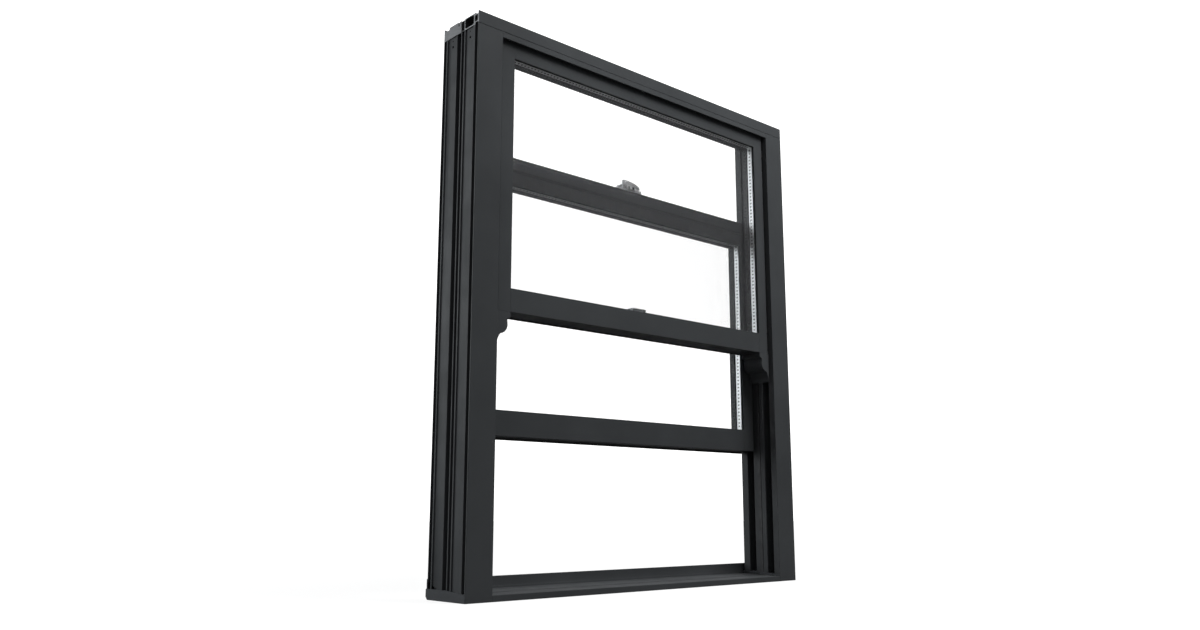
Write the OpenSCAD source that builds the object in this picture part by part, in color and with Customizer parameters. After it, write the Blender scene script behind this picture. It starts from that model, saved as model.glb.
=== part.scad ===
// Vertical sliding sash window in thermally broken aluminium: outer frame, an outer upper sash
// with run-through horns, an inner lower sash, double glazing, spiral balances and a cam fastener.
// X runs across the window, Y from the outside face to the room side, Z up from the sill's underside.
// The window stands with its upper sash shut and its lower sash raised to part_open.

/* [Outer frame] */
// Overall width
frame_w = 1052; // [800:2:1200]
// Overall height
frame_h = 1250; // [1200:1:1400]
// Depth of the jambs and the head
frame_d = 134; // [134:1:138]
// Width of a jamb's outside face
jamb_w = 66; // [66:1:72]
// Height of the head above the jambs
head_h = 29; // [28:1:32]
// Height of the trim that hangs below the head's face
head_trim_h = 13; // [11:1:14]
// Thickness of the frame's walls
frame_wall = 2.2; // [1.8:0.1:2.4]
// How far the sill's rear nose runs past the frame's room side
sill_nose = 6; // [4:0.5:7]
// Height of the sill's front lip
sill_lip_h = 12.8; // [12:0.1:14]
// Height of the sill's rear upstand
sill_upstand_h = 41; // [38:0.5:42]

/* [Sashes] */
// Depth of a sash from its outside face to its bead
sash_d = 48; // [48:0.5:50]
// Width of the upper sash's stiles on the outside face
upper_stile_w = 34; // [31:1:35]
// Width of the lower sash's stiles on the outside face
lower_stile_w = 40; // [38:1:41]
// Height of the upper sash's top rail
top_rail_h = 42; // [40:1:44]
// Height of the upper sash's meeting rail
upper_meeting_h = 52; // [48:1:54]
// Height of the lower sash's meeting rail
lower_meeting_h = 66; // [62:1:68]
// Height of the lower sash's bottom rail
bottom_rail_h = 56; // [52:1:60]
// Height of the upper sash's underside above the window's base
upper_sash_z = 595.5; // [560:0.5:620]
// Height of the lower sash from bottom rail to meeting rail
lower_sash_h = 632; // [600:1:640]
// How far the lower sash stands raised
part_open = 316; // [100:1:400]
// Height of a horn below the meeting rail
horn_h = 77; // [70:1:84]

/* [Glazing] */
// Thickness of each pane
pane_t = 4; // [3:0.5:4]
// Width of the cavity between the panes
cavity_t = 16; // [14:1:16]
// How far the glass runs under the sash's face
edge_cover = 9; // [8:0.5:10]
// Depth of the glazing rebate beyond the daylight opening
rebate = 14; // [13:0.5:15]

/* [Hardware] */
// Outside diameter of a balance tube
tube_d = 12; // [11:0.5:13]
// Length of a balance tube
tube_l = 540; // [500:5:560]
// Width of the fastener's base
fastener_w = 84; // [78:1:90]
// Height of the fastener's housing above the rail
fastener_h = 18; // [16:0.5:19]
// Width of the keeper
keeper_w = 44; // [40:1:48]
// Height of the keeper
keeper_h = 15.5; // [15:0.5:17]

/* [Hidden] */
$fn = 40;

// Places across the depth, measured from the outside face
mid_y = (frame_d + sill_nose) / 2;
outer_half_end = 52;
inner_half_start = 65;
outer_lip_end = 54.5;
inner_ridge_start = 62.8;
lip_w = 18;
upper_sash_y = 11;
lower_sash_y = 77;
meeting_d = 61;
inner_wall_end = 125;

// Places across the width
half_w = frame_w / 2;
outer_wall_x = half_w - jamb_w;
inner_step = 9;
inner_wall_x = outer_wall_x + inner_step;
rear_face_x = half_w - 46;
upper_gap = 8;
lower_gap = 5;
upper_face_x = outer_wall_x - upper_gap;
upper_out_x = outer_wall_x - lower_gap;
upper_in_x = upper_face_x - upper_stile_w;
lower_out_x = inner_wall_x - lower_gap;
lower_in_x = lower_out_x - lower_stile_w;

// Heights
jamb_top_z = frame_h - head_h;
upper_top_z = jamb_top_z - 5.5;
upper_glass_z0 = upper_sash_z + upper_meeting_h;
upper_glass_z1 = upper_top_z - top_rail_h;
closed_z = 21;
lower_sash_z = closed_z + part_open;
lower_top_z = lower_sash_z + lower_sash_h;
lower_glass_z0 = lower_sash_z + bottom_rail_h;
lower_glass_z1 = lower_top_z - lower_meeting_h;

// Sash section
flange_t = 4;
gasket_t = 2.5;
sash_wall = 2;
pane_outer_y = flange_t + gasket_t;
cavity_y = pane_outer_y + pane_t;
pane_inner_y = cavity_y + cavity_t;
bead_y = pane_inner_y + pane_t + gasket_t;
spacer_h = 6.5;
spacer_inset = 1;
gasket_lip = 1;
bead_clearance = 0.2;
meeting_shelf_t = 3;
meeting_back_t = 2.5;
drip_h = 2.7;
meeting_band_h = 10;
meeting_band_d = 1.6;
meeting_top_t = 1.4;
meeting_groove_drop = 34;
pile_groove_w = 5.4;
pile_groove_d = 2;
pile_reach = 3.6;
pile_w = 4.5;
pile_play = 0.8;
pile_clearance = 0.3;
pile_inset = 10;
bead_wall = 1.6;
sill_seal_w = 5;
sill_seal_h = 5.3;

// Frame section: grooves, channels and slots that both halves of a jamb share
tip_t = 3.5;
rear_tip_t = 1.5;
groove_end = 13;
channel_start = 20.4;
channel_end = 49.6;
channel_floor = 2.8;
groove_floor = 14;
slot_start = 17.1;
slot_end = 38.4;
slot_lip = 4;
slot_depth = 30;
slot_undercut = 3;
inner_slot_shift = 66.2;
rear_groove_start = 66.7;
rear_groove_end = 80.5;
rear_channel_start = 84.4;
rear_channel_end = 118.6;
tip_groove_start = 123.4;
inner_chamber_end = 121;
break_root = 20;
break_wall = 2.4;
break_neck = 5;
seam_w = 1.4;
seam_d = 1.6;
chamber_x0 = channel_floor + frame_wall;
chamber_x1 = jamb_w - slot_depth - frame_wall;

// Sill section
sill_rear_z = 15.4;
upstand_y = frame_d + 0.2;
upstand_t = 5;
seat_z_front = 17;
seat_z_mid = 22;
seat_mid_y = 68;
end_plate_t = 1.5;
sill_len = frame_w - 2 * end_plate_t;
sill_face_t = 2.6;
nose_y = frame_d + sill_nose;
nose_z0 = 6;
nose_z1 = 20;
upstand_wall = 1.6;
upstand_foot_z = 8;
seat_gap = 0.05;
seat_end_y = upstand_y - 1.2;

// Head section
head_joint = 0.8;
head_joint_d = 1.2;
head_hook_h = 4.5;
head_wall = 3;
head_outer_end = outer_half_end + 2;
head_inner_start = inner_half_start + 2;
head_hollow_y0 = 19;
head_hollow_y1 = outer_half_end - 0.4;
head_lid_start = 78.4;
head_lid_end = 114;
head_lid_drop = 0.6;
trim_t = 2.4;
trim_return = 6;
buffer_x = 380;
buffer_w = 30;
buffer_d = 14;
upper_buffer_h = 5;
lower_buffer_h = 8;

// Balances, guides and screws
tube_x = 19;
tube_wall = 1;
rod_d = 5;
tube_top_z = jamb_top_z - 40;
tube_plug_l = 20;
tube_screw_z = tube_top_z - tube_plug_l / 2;
lower_rod_spare = 634;
upper_rod_spare = 550;
bracket_h = 5;
bracket_w = 12;
bracket_rise = 4;
guide_l = 40;
guide_clearance = 0.6;
guide_head_t = 3;
guide_inset = 60;
guide_rise = 20;
fix_hole_d = 5.5;
fix_hole_z = frame_h - 50.5;
fix_hole_y = 35.5;
vent_hole_d = 2.6;
vent_hole_rise = 14;
screw_d = 4;
screw_head_d = 7.6;
screw_head_h = 2.4;

// Fastener and keeper
pivot_x = -7;
pivot_y = 92;
pivot_d = 7;
pivot_play = 0.05;
spindle_foot = 1.4;
housing_w = 44;
housing_d = 24;
bridge_t = 3;
base_t = 3;
foot_h = 10;
lever_clear = fastener_h + 0.8;
lever_top = 32;
lever_l = 52;
boss_d = 12;
handle_w = 11;
drum_d = 17;
cam_reach = 30.5;
cam_w = 8;
cam_t = 4.2;
cam_play = 0.4;
fastener_screw_x = 33;
keeper_y = 47;
keeper_d = 20;
keeper_top_t = 1.8;
keeper_mouth_h = 6;
keeper_mouth_d = 8;
keeper_screw_x = 14;
keeper_screw_y = 6;
small_screw_d = 3.2;
small_head_d = 6;
small_head_h = 1.8;
hole_play = 0.3;
screw_bite = 10;
lift_x = 250;
lift_w = 80;
lift_rise = 26;
lift_reach = 13;
lift_t = 2.5;
lift_h = 22;

// ---- Profile helpers -------------------------------------------------------------------------

// A rectangle between two corners
module rect(a0, b0, a1, b1) {
    translate([a0, b0]) square([a1 - a0, b1 - b0]);
}

// Runs an outline drawn in depth and height along X, centred, over a length
module along_x(len) {
    rotate([90, 0, 90]) translate([-mid_y, 0, -len / 2]) linear_extrude(len) children();
}

// Runs an outline drawn in width and depth up Z between two heights
module along_z(z0, z1) {
    translate([0, -mid_y, z0]) linear_extrude(z1 - z0) children();
}

// A box between two corners, with its depth measured from the outside face
module block(x0, y0, z0, x1, y1, z1) {
    translate([x0, y0 - mid_y, z0]) cube([x1 - x0, y1 - y0, z1 - z0]);
}

// A round bar along X
module bar_x(d, x0, x1, y, z) {
    translate([x0, y - mid_y, z]) rotate([0, 90, 0]) cylinder(d = d, h = x1 - x0);
}

// A round bar along Z
module bar_z(d, x, y, z0, z1) {
    translate([x, y - mid_y, z0]) cylinder(d = d, h = z1 - z0);
}

// Draws its child as it stands or turned over to the other side of the window
module side(s) {
    if (s > 0) children();
    else mirror([1, 0, 0]) children();
}

// A rectangular ring in the plane of the glass
module ring(x_out, z0_out, z1_out, w, y0, y1) {
    difference() {
        block(-x_out, y0, z0_out, x_out, y1, z1_out);
        block(w - x_out, y0 - 1, z0_out + w, x_out - w, y1 + 1, z1_out - w);
    }
}

// ---- Jambs: one section, drawn for the right-hand side with the outer edge at half_w -----------

// A rectangle placed by its distance in from the frame's outer edge
module inset_rect(i0, y0, i1, y1) {
    rect(half_w - i1, y0, half_w - i0, y1);
}

// The slot that opens on the sash side and its wider chamber, in a wall at face_in from the edge
module balance_slot(shift, face_in) {
    inset_rect(face_in - slot_lip - 1, slot_start + shift, face_in + 1, slot_end + shift);
    inset_rect(face_in - slot_depth, slot_start + shift - slot_undercut,
        face_in - slot_lip, slot_end + shift + slot_undercut);
}

// Outer aluminium half of a jamb
module jamb_outer_section() {
    difference() {
        union() {
            inset_rect(0, 0, jamb_w, outer_half_end);
            inset_rect(0, outer_half_end - 1, lip_w, outer_lip_end);
        }
        inset_rect(-1, tip_t, groove_floor, groove_end);
        inset_rect(-1, channel_start, channel_floor, channel_end);
        inset_rect(groove_floor + frame_wall, tip_t - frame_wall + 1,
            jamb_w - frame_wall, slot_start - slot_undercut - frame_wall);
        inset_rect(chamber_x0, slot_start - 1.5, chamber_x1, outer_half_end - frame_wall);
        inset_rect(jamb_w - slot_depth, slot_end + slot_undercut + frame_wall,
            jamb_w - frame_wall, outer_half_end - frame_wall);
        balance_slot(0, jamb_w);
    }
}

// Inner aluminium half of a jamb, with the rear channel and the interior flange
module jamb_inner_section() {
    face_in = jamb_w - inner_step;
    rear_in = half_w - rear_face_x;
    tip_start = frame_d - rear_tip_t;
    difference() {
        union() {
            inset_rect(0, inner_half_start, face_in, inner_wall_end);
            inset_rect(0, inner_wall_end, rear_in, frame_d);
            inset_rect(0, inner_ridge_start, lip_w, inner_half_start + 1);
        }
        inset_rect(-1, rear_groove_start, groove_floor, rear_groove_end);
        inset_rect(-1, rear_channel_start, channel_floor, rear_channel_end);
        inset_rect(-1, tip_groove_start, groove_floor, tip_start);
        inset_rect(chamber_x0, inner_slot_shift + slot_start, face_in - slot_depth - frame_wall,
            inner_chamber_end);
        inset_rect(groove_floor + frame_wall, inner_half_start + frame_wall,
            face_in - frame_wall, inner_slot_shift + slot_start - slot_undercut - frame_wall);
        inset_rect(face_in - slot_depth, inner_slot_shift + slot_end + slot_undercut + frame_wall,
            face_in - frame_wall, inner_wall_end - frame_wall);
        inset_rect(groove_floor + frame_wall, inner_wall_end,
            rear_in - frame_wall, frame_d - frame_wall);
        balance_slot(inner_slot_shift, face_in);
    }
}

// Polyamide bar that joins the two halves, grooved along both edges on the sash side
module jamb_break_section() {
    difference() {
        inset_rect(break_root, outer_half_end, jamb_w, inner_half_start);
        inset_rect(break_root + break_wall, outer_half_end + break_wall,
            jamb_w - break_neck, inner_half_start - break_wall);
        inset_rect(jamb_w - seam_d, outer_half_end - 1, jamb_w + 1, outer_half_end + seam_w);
        inset_rect(jamb_w - seam_d, inner_half_start - seam_w, jamb_w + 1, inner_half_start + 1);
    }
}

// Slope on which the jambs stand, cut off everything below it
module above_seat() {
    difference() {
        children();
        along_x(frame_w + 2) polygon([
            [-1, -1], [-1, seat_z_front], [seat_mid_y, seat_z_mid], [frame_d + 20, seat_z_mid],
            [frame_d + 20, -1],
        ]);
    }
}

// Screw holes through a channel's floor
module fixing_holes(shift) {
    bar_x(fix_hole_d, rear_face_x, half_w + 1, fix_hole_y + shift, fix_hole_z);
    bar_x(vent_hole_d, half_w - lip_w, half_w + 1, fix_hole_y + shift, fix_hole_z + vent_hole_rise);
}

module jamb_outer(s) {
    color("#3a3c3e") side(s) {
        difference() {
            above_seat() along_z(0, jamb_top_z) jamb_outer_section();
            fixing_holes(0);
        }
        block(outer_wall_x, 0, 0, half_w, tip_t - 1, seat_z_mid);
    }
}

module jamb_inner(s) {
    color("#3a3c3e") side(s) difference() {
        above_seat() along_z(0, jamb_top_z) jamb_inner_section();
        fixing_holes(inner_slot_shift);
    }
}

module jamb_break(s) {
    color("#202224") side(s) above_seat() along_z(0, jamb_top_z) jamb_break_section();
}

module jamb_left_outer() { jamb_outer(-1); }
module jamb_left_inner() { jamb_inner(-1); }
module jamb_left_break() { jamb_break(-1); }
module jamb_right_outer() { jamb_outer(1); }
module jamb_right_inner() { jamb_inner(1); }
module jamb_right_break() { jamb_break(1); }

// ---- Head ------------------------------------------------------------------------------------

// A box-shaped hollow with cut corners
module cut_corner_hollow(y0, z0, y1, z1, c) {
    polygon([
        [y0 + c, z0], [y1 - c, z0], [y1, z0 + c], [y1, z1 - c],
        [y1 - c, z1], [y0 + c, z1], [y0, z1 - c], [y0, z0 + c],
    ]);
}

module head_outer() {
    top_step = head_h - 2;
    face_t = tip_t - 0.5;
    color("#3a3c3e") along_x(frame_w) translate([0, jamb_top_z]) difference() {
        rect(0, 0, head_outer_end, head_h);
        rect(-1, -1, head_joint_d, head_joint);
        rect(face_t, -1, groove_end, head_hook_h);
        rect(face_t, head_h - head_hook_h - 1, groove_end, head_h + 1);
        rect(groove_end - 1, top_step, head_outer_end + 1, head_h + 1);
        rect(face_t + 2, head_hook_h + 2.5, groove_end + 2, head_h - head_hook_h - 3.5);
        cut_corner_hollow(head_hollow_y0, head_wall, head_hollow_y1, top_step - 2, head_wall);
    }
}

// Outside shape of the head's inner half: its top steps down for the fixing straps
module head_inner_outline() {
    start = head_inner_start;
    notch_y = head_lid_start - 4.4;
    difference() {
        rect(start, 0, frame_d, head_h);
        rect(start - 1, head_h - 1.5, notch_y, head_h + 1);
        rect(notch_y, head_h - 11, head_lid_start + 0.1, head_h + 1);
        rect(head_lid_start, head_h - head_lid_drop, head_lid_end, head_h + 1);
        rect(head_lid_end, head_h - 5.5, frame_d - 3.5, head_h + 1);
    }
}

module head_inner() {
    color("#3a3c3e") along_x(frame_w - 2 * end_plate_t) translate([0, jamb_top_z]) difference() {
        head_inner_outline();
        rect(head_lid_start + 2.6, head_wall, head_lid_end - 2.5, head_h - head_wall);
        rect(head_lid_start + 7.6, head_h - head_wall - 1, head_lid_end - 8, head_h + 1);
        rect(head_lid_end, head_wall, frame_d - frame_wall, head_h - 5.5 - frame_wall);
    }
}

// Bare plates that close the ends of the head's inner half
module head_caps() {
    color("#8f9294") for (s = [-1, 1]) side(s) from_x(half_w - end_plate_t, half_w)
        translate([0, jamb_top_z]) head_inner_outline();
}

module head_break() {
    color("#202224") along_x(frame_w) translate([0, jamb_top_z]) difference() {
        rect(head_outer_end, 0, head_inner_start, head_h - 4);
        rect(head_outer_end + break_wall, break_wall, head_inner_start - break_wall,
            head_h - 4 - break_wall);
    }
}

// Trim that hangs in front of the upper sash and hooks behind the head's face
module head_trim() {
    color("#3a3c3e") along_x(2 * outer_wall_x) translate([0, jamb_top_z]) {
        rect(0, -head_trim_h, trim_t, 0);
        rect(0, -2, trim_t + 0.5, 0);
        rect(trim_t - 0.1, -head_trim_h, trim_return, 2 - head_trim_h);
    }
}

// Rubber buffers under the head, where each sash meets it
module head_buffers() {
    upper_y = upper_sash_y + buffer_d + 1;
    lower_y = lower_sash_y + buffer_d + 3;
    color("#151617") for (x = [-buffer_x, buffer_x]) {
        block(x - buffer_w / 2, upper_y, jamb_top_z - upper_buffer_h,
            x + buffer_w / 2, upper_y + buffer_d, jamb_top_z);
        block(x - buffer_w / 2, lower_y, jamb_top_z - lower_buffer_h,
            x + buffer_w / 2, lower_y + buffer_d, jamb_top_z);
    }
}

// ---- Sill ------------------------------------------------------------------------------------

// Height of the sill's sloping top at a given depth
function sill_top(y) = sill_lip_h + (sill_rear_z - sill_lip_h) * y / frame_d;

module sill_outer() {
    y0 = sill_face_t - 0.1;
    y1 = outer_half_end;
    color("#3a3c3e") {
        along_x(2 * outer_wall_x) rect(0, 0, sill_face_t, sill_lip_h);
        along_x(sill_len) difference() {
            polygon([[y0, 0], [y1, 0], [y1, sill_top(y1)], [y0, sill_top(y0)]]);
            polygon([
                [y0 + frame_wall, frame_wall], [y1 - frame_wall, frame_wall],
                [y1 - frame_wall, sill_top(y1) - frame_wall], [y0 + frame_wall, sill_top(0) - frame_wall],
            ]);
        }
    }
}

module sill_inner() {
    y0 = inner_half_start;
    upstand_end = upstand_y + upstand_t;
    color("#3a3c3e") along_x(sill_len) difference() {
        union() {
            polygon([[y0, 0], [upstand_y, 0], [upstand_y, sill_top(upstand_y)], [y0, sill_top(y0)]]);
            polygon([
                [upstand_y - 1, nose_z0 / 2], [nose_y, nose_z0], [nose_y, nose_z1],
                [upstand_y - 1, nose_z1],
            ]);
            rect(upstand_y, upstand_foot_z, upstand_end, sill_upstand_h);
        }
        polygon([
            [y0 + frame_wall, frame_wall], [upstand_y - frame_wall, frame_wall],
            [upstand_y - frame_wall, sill_rear_z - frame_wall],
            [y0 + frame_wall, sill_top(y0) - frame_wall],
        ]);
        rect(upstand_y + upstand_wall, nose_z1 + 2, upstand_end - upstand_wall,
            sill_upstand_h - upstand_wall);
    }
}

module sill_break() {
    y0 = outer_half_end;
    y1 = inner_half_start;
    color("#202224") along_x(sill_len) difference() {
        polygon([[y0, 1], [y1, 1], [y1, sill_top(y1)], [y0, sill_top(y0)]]);
        rect(y0 + break_wall, 1 + break_wall, y1 - break_wall, sill_top(y0) - break_wall);
    }
}

// Height of the jambs' seat in front of its level part
function seat_line(y) = seat_z_front + (seat_z_mid - seat_z_front) * (y + 1) / (seat_mid_y + 1);

// Runs an outline drawn in depth and height along X, from one width to another
module from_x(x0, x1) {
    translate([x0, 0, 0]) rotate([90, 0, 90]) translate([-mid_y, 0, 0]) linear_extrude(x1 - x0)
        children();
}

// End plate with the sloping seat on which a jamb stands; behind the thermal break the seat
// steps out with the jamb's wall
module sill_end(s) {
    y0 = tip_t - 1;
    y1 = seat_end_y;
    inner_x = half_w - end_plate_t;
    color("#45474a") side(s) {
        from_x(inner_x, half_w) polygon([
            [y0, 0], [upstand_y, 0], [nose_y, nose_z0], [nose_y, nose_z1],
            [upstand_y + upstand_t, seat_z_mid],
            [seat_mid_y, seat_z_mid], [y0, seat_line(y0)],
        ]);
        difference() {
            from_x(outer_wall_x, inner_x) polygon([
                [y0, sill_top(y0) + seat_gap], [y1, sill_top(y1) + seat_gap], [y1, seat_z_mid],
                [seat_mid_y, seat_z_mid], [y0, seat_line(y0)],
            ]);
            block(outer_wall_x - 1, inner_half_start, 0, inner_wall_x, y1 + 1, seat_z_mid + 1);
        }
    }
}

module sill_end_left() { sill_end(-1); }
module sill_end_right() { sill_end(1); }

// ---- Sash pieces -----------------------------------------------------------------------------

// Hollow stile with its outside flange and its glazing rebate, for the right-hand side
module stile_section(x_in, x_face, x_out, y0) {
    body_x = x_in + rebate;
    difference() {
        union() {
            rect(x_in, y0, x_face, y0 + flange_t);
            rect(body_x, y0, x_face, y0 + sash_d);
            rect(body_x, y0 + flange_t + 3, x_out, y0 + sash_d - 3);
        }
        rect(body_x + sash_wall, y0 + sash_wall + 1, x_face - sash_wall, y0 + sash_d / 2 - 1);
        rect(body_x + sash_wall, y0 + sash_d / 2 + 1, x_face - sash_wall, y0 + sash_d - sash_wall);
    }
}

// Hollow rail: an outside flange and a box behind it, drawn in depth and height.
// dir is 1 where the glass is above the rail and -1 where it is below.
module rail_flange(y0, z_far, z_glass) {
    rect(y0, min(z_far, z_glass), y0 + flange_t, max(z_far, z_glass));
}

module rail_body(y0, z_far, z_glass, d, dir) {
    z_body = z_glass - dir * rebate;
    z0 = min(z_far, z_body);
    z1 = max(z_far, z_body);
    difference() {
        rect(y0 + flange_t, z0, y0 + d, z1);
        rect(y0 + flange_t + sash_wall, z0 + sash_wall, y0 + sash_d / 2 - 1, z1 - sash_wall);
        rect(y0 + sash_d / 2 + 1, z0 + sash_wall, y0 + sash_d - sash_wall, z1 - sash_wall);
    }
}

module upper_stile(s) {
    color("#3a3c3e") side(s) along_z(upper_sash_z, upper_top_z)
        stile_section(upper_in_x, upper_face_x, upper_out_x, upper_sash_y);
}

module lower_stile(s) {
    color("#3a3c3e") side(s) along_z(lower_sash_z, lower_top_z)
        stile_section(lower_in_x, lower_out_x, lower_out_x, lower_sash_y);
}

module upper_stile_left() { upper_stile(-1); }
module upper_stile_right() { upper_stile(1); }
module lower_stile_left() { lower_stile(-1); }
module lower_stile_right() { lower_stile(1); }

module upper_top_rail() {
    color("#3a3c3e") {
        along_x(2 * upper_in_x) rail_flange(upper_sash_y, upper_top_z, upper_glass_z1);
        along_x(2 * (upper_in_x + rebate))
            rail_body(upper_sash_y, upper_top_z, upper_glass_z1, sash_d, -1);
    }
}

// Deep meeting rail: it runs on behind the sash to meet the lower sash, ends in a drip lip, and
// its room side rises to the glass in place of a bead
module upper_meeting_rail() {
    y0 = upper_sash_y;
    z0 = upper_sash_z;
    rear = y0 + meeting_d;
    z_body = upper_glass_z0 - rebate;
    web = sash_wall;
    shelf_z = upper_glass_z0 - meeting_shelf_t;
    color("#3a3c3e") difference() {
        union() {
            along_x(2 * upper_in_x) rail_flange(y0, z0, upper_glass_z0);
            along_x(2 * (upper_in_x + rebate)) difference() {
                union() {
                    rect(y0 + flange_t, z0, y0 + sash_d, z_body);
                    rect(y0 + bead_y, z_body - 1, y0 + sash_d, upper_glass_z0);
                }
                rect(y0 + flange_t + web, z0 + web, y0 + sash_d / 2 - 1, z_body - web);
                rect(y0 + sash_d / 2 + 1, z0 + web, y0 + sash_d + 1, z_body - web);
                rect(y0 + bead_y + web, z_body, y0 + sash_d + 1, shelf_z);
            }
            along_x(2 * upper_in_x) {
                rect(y0 + sash_d - 1, z0, rear, z0 + web);
                rect(y0 + sash_d - 1, shelf_z, rear, upper_glass_z0);
                rect(y0 + sash_d - 1, z_body - web, rear, z_body);
                rect(rear - meeting_back_t, z0 - drip_h, rear, upper_glass_z0);
            }
        }
        for (x = [-keeper_screw_x, keeper_screw_x])
            bar_z(small_screw_d + hole_play, x, keeper_y + keeper_screw_y,
                upper_glass_z0 - screw_bite - 1, upper_glass_z0 + 1);
    }
}

// The lower sash's meeting rail: the face has a recessed top band and a groove
module lower_meeting_rail() {
    band_z = lower_top_z - meeting_band_h;
    groove_z = lower_top_z - meeting_groove_drop;
    color("#3a3c3e") difference() {
        union() {
            along_x(2 * lower_in_x) difference() {
                rail_flange(lower_sash_y, lower_top_z, lower_glass_z1);
                rect(lower_sash_y - 1, band_z, lower_sash_y + meeting_band_d,
                    lower_top_z - meeting_top_t);
                rect(lower_sash_y - 1, groove_z, lower_sash_y + pile_groove_d, groove_z + pile_groove_w);
            }
            along_x(2 * (lower_in_x + rebate))
                rail_body(lower_sash_y, lower_top_z, lower_glass_z1, sash_d, -1);
        }
        for (x = [-fastener_screw_x, fastener_screw_x])
            bar_z(small_screw_d + hole_play, x, pivot_y, lower_top_z - screw_bite - 1, lower_top_z + 1);
    }
}

// Brush in the meeting rail's groove that closes the gap to the upper sash
module meeting_pile() {
    z0 = lower_top_z - meeting_groove_drop;
    color("#232527") along_x(2 * lower_in_x)
        rect(lower_sash_y - pile_reach, z0 + pile_clearance, lower_sash_y + pile_groove_d,
            z0 + pile_groove_w - pile_clearance);
}

// Brushes down a stile's edge that close the gap to the jamb
module stile_piles(x_out, y, z0, z1) {
    color("#232527") for (s = [-1, 1])
        side(s) block(x_out, y, z0, x_out + lower_gap - pile_play, y + pile_w, z1);
}

module upper_piles() {
    stile_piles(upper_out_x, upper_sash_y + sash_d - pile_inset, upper_sash_z, upper_top_z);
}

module lower_piles() {
    stile_piles(lower_out_x, lower_sash_y + sash_d - pile_inset, lower_sash_z, lower_top_z);
}

module lower_bottom_rail() {
    color("#3a3c3e") {
        along_x(2 * lower_in_x) rail_flange(lower_sash_y, lower_sash_z, lower_glass_z0);
        along_x(2 * (lower_in_x + rebate))
            rail_body(lower_sash_y, lower_sash_z, lower_glass_z0, sash_d, 1);
    }
}

// Weather seal under the bottom rail's room edge
module sill_seal() {
    y1 = lower_sash_y + sash_d - 1;
    color("#2a2c2e") along_x(2 * lower_in_x)
        rect(y1 - sill_seal_w, lower_sash_z - sill_seal_h, y1, lower_sash_z);
}

// ---- Glazing ---------------------------------------------------------------------------------

module pane(x_in, z0, z1, y) {
    color("#cfe3e0", 0.35) block(-x_in - edge_cover, y, z0 - edge_cover,
        x_in + edge_cover, y + pane_t, z1 + edge_cover);
}

module spacer(x_in, z0, z1, y) {
    inset = spacer_inset;
    color("#d8d9da") ring(x_in + inset + spacer_h, z0 - inset - spacer_h, z1 + inset + spacer_h,
        spacer_h, y, y + cavity_t);
}

module edge_seal(x_in, z0, z1, y) {
    w = edge_cover - spacer_inset - spacer_h;
    color("#17181a") ring(x_in + edge_cover, z0 - edge_cover, z1 + edge_cover, w, y, y + cavity_t);
}

module gasket(x_in, z0, z1, y) {
    color("#141516") ring(x_in + edge_cover, z0 - edge_cover, z1 + edge_cover,
        edge_cover + gasket_lip, y, y + gasket_t);
}

// Level bead between the stiles; dir is 1 above the glass and -1 below it
module bead_level(x_in, z, y, dir) {
    c = bead_clearance;
    color("#3a3c3e") along_x(2 * (x_in + rebate - c)) bead_outline(y, z, z + dir * (rebate - c));
}

// Hollow bead from the daylight edge into the rebate, where it is open
module bead_outline(y, edge, far) {
    y1 = y + sash_d - bead_y;
    dir = sign(far - edge);
    difference() {
        rect(y, min(edge, far), y1, max(edge, far));
        rect(y + bead_wall, min(edge + dir * bead_wall, far + dir), y1 - bead_wall,
            max(edge + dir * bead_wall, far + dir));
    }
}

// Upright beads stand between the level ones
module beads_upright(x_in, z0, z1, y) {
    c = bead_clearance;
    y1 = y + sash_d - bead_y;
    color("#3a3c3e") for (s = [-1, 1]) side(s) along_z(z0 + c, z1 - c) difference() {
        rect(x_in, y, x_in + rebate - c, y1);
        rect(x_in + bead_wall, y + bead_wall, x_in + rebate, y1 - bead_wall);
    }
}

module upper_pane_outer() {
    pane(upper_in_x, upper_glass_z0, upper_glass_z1, upper_sash_y + pane_outer_y);
}
module upper_pane_inner() {
    pane(upper_in_x, upper_glass_z0, upper_glass_z1, upper_sash_y + pane_inner_y);
}
module upper_spacer() {
    spacer(upper_in_x, upper_glass_z0, upper_glass_z1, upper_sash_y + cavity_y);
}
module upper_edge_seal() {
    edge_seal(upper_in_x, upper_glass_z0, upper_glass_z1, upper_sash_y + cavity_y);
}
module upper_gasket_outer() {
    gasket(upper_in_x, upper_glass_z0, upper_glass_z1, upper_sash_y + flange_t);
}
module upper_gasket_inner() {
    gasket(upper_in_x, upper_glass_z0, upper_glass_z1, upper_sash_y + pane_inner_y + pane_t);
}
module upper_bead_top() {
    bead_level(upper_in_x, upper_glass_z1, upper_sash_y + bead_y, 1);
}
module upper_beads_upright() {
    beads_upright(upper_in_x, upper_glass_z0, upper_glass_z1, upper_sash_y + bead_y);
}
module lower_pane_outer() {
    pane(lower_in_x, lower_glass_z0, lower_glass_z1, lower_sash_y + pane_outer_y);
}
module lower_pane_inner() {
    pane(lower_in_x, lower_glass_z0, lower_glass_z1, lower_sash_y + pane_inner_y);
}
module lower_spacer() {
    spacer(lower_in_x, lower_glass_z0, lower_glass_z1, lower_sash_y + cavity_y);
}
module lower_edge_seal() {
    edge_seal(lower_in_x, lower_glass_z0, lower_glass_z1, lower_sash_y + cavity_y);
}
module lower_gasket_outer() {
    gasket(lower_in_x, lower_glass_z0, lower_glass_z1, lower_sash_y + flange_t);
}
module lower_gasket_inner() {
    gasket(lower_in_x, lower_glass_z0, lower_glass_z1, lower_sash_y + pane_inner_y + pane_t);
}
module lower_beads_level() {
    bead_level(lower_in_x, lower_glass_z0, lower_sash_y + bead_y, -1);
    bead_level(lower_in_x, lower_glass_z1, lower_sash_y + bead_y, 1);
}
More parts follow.
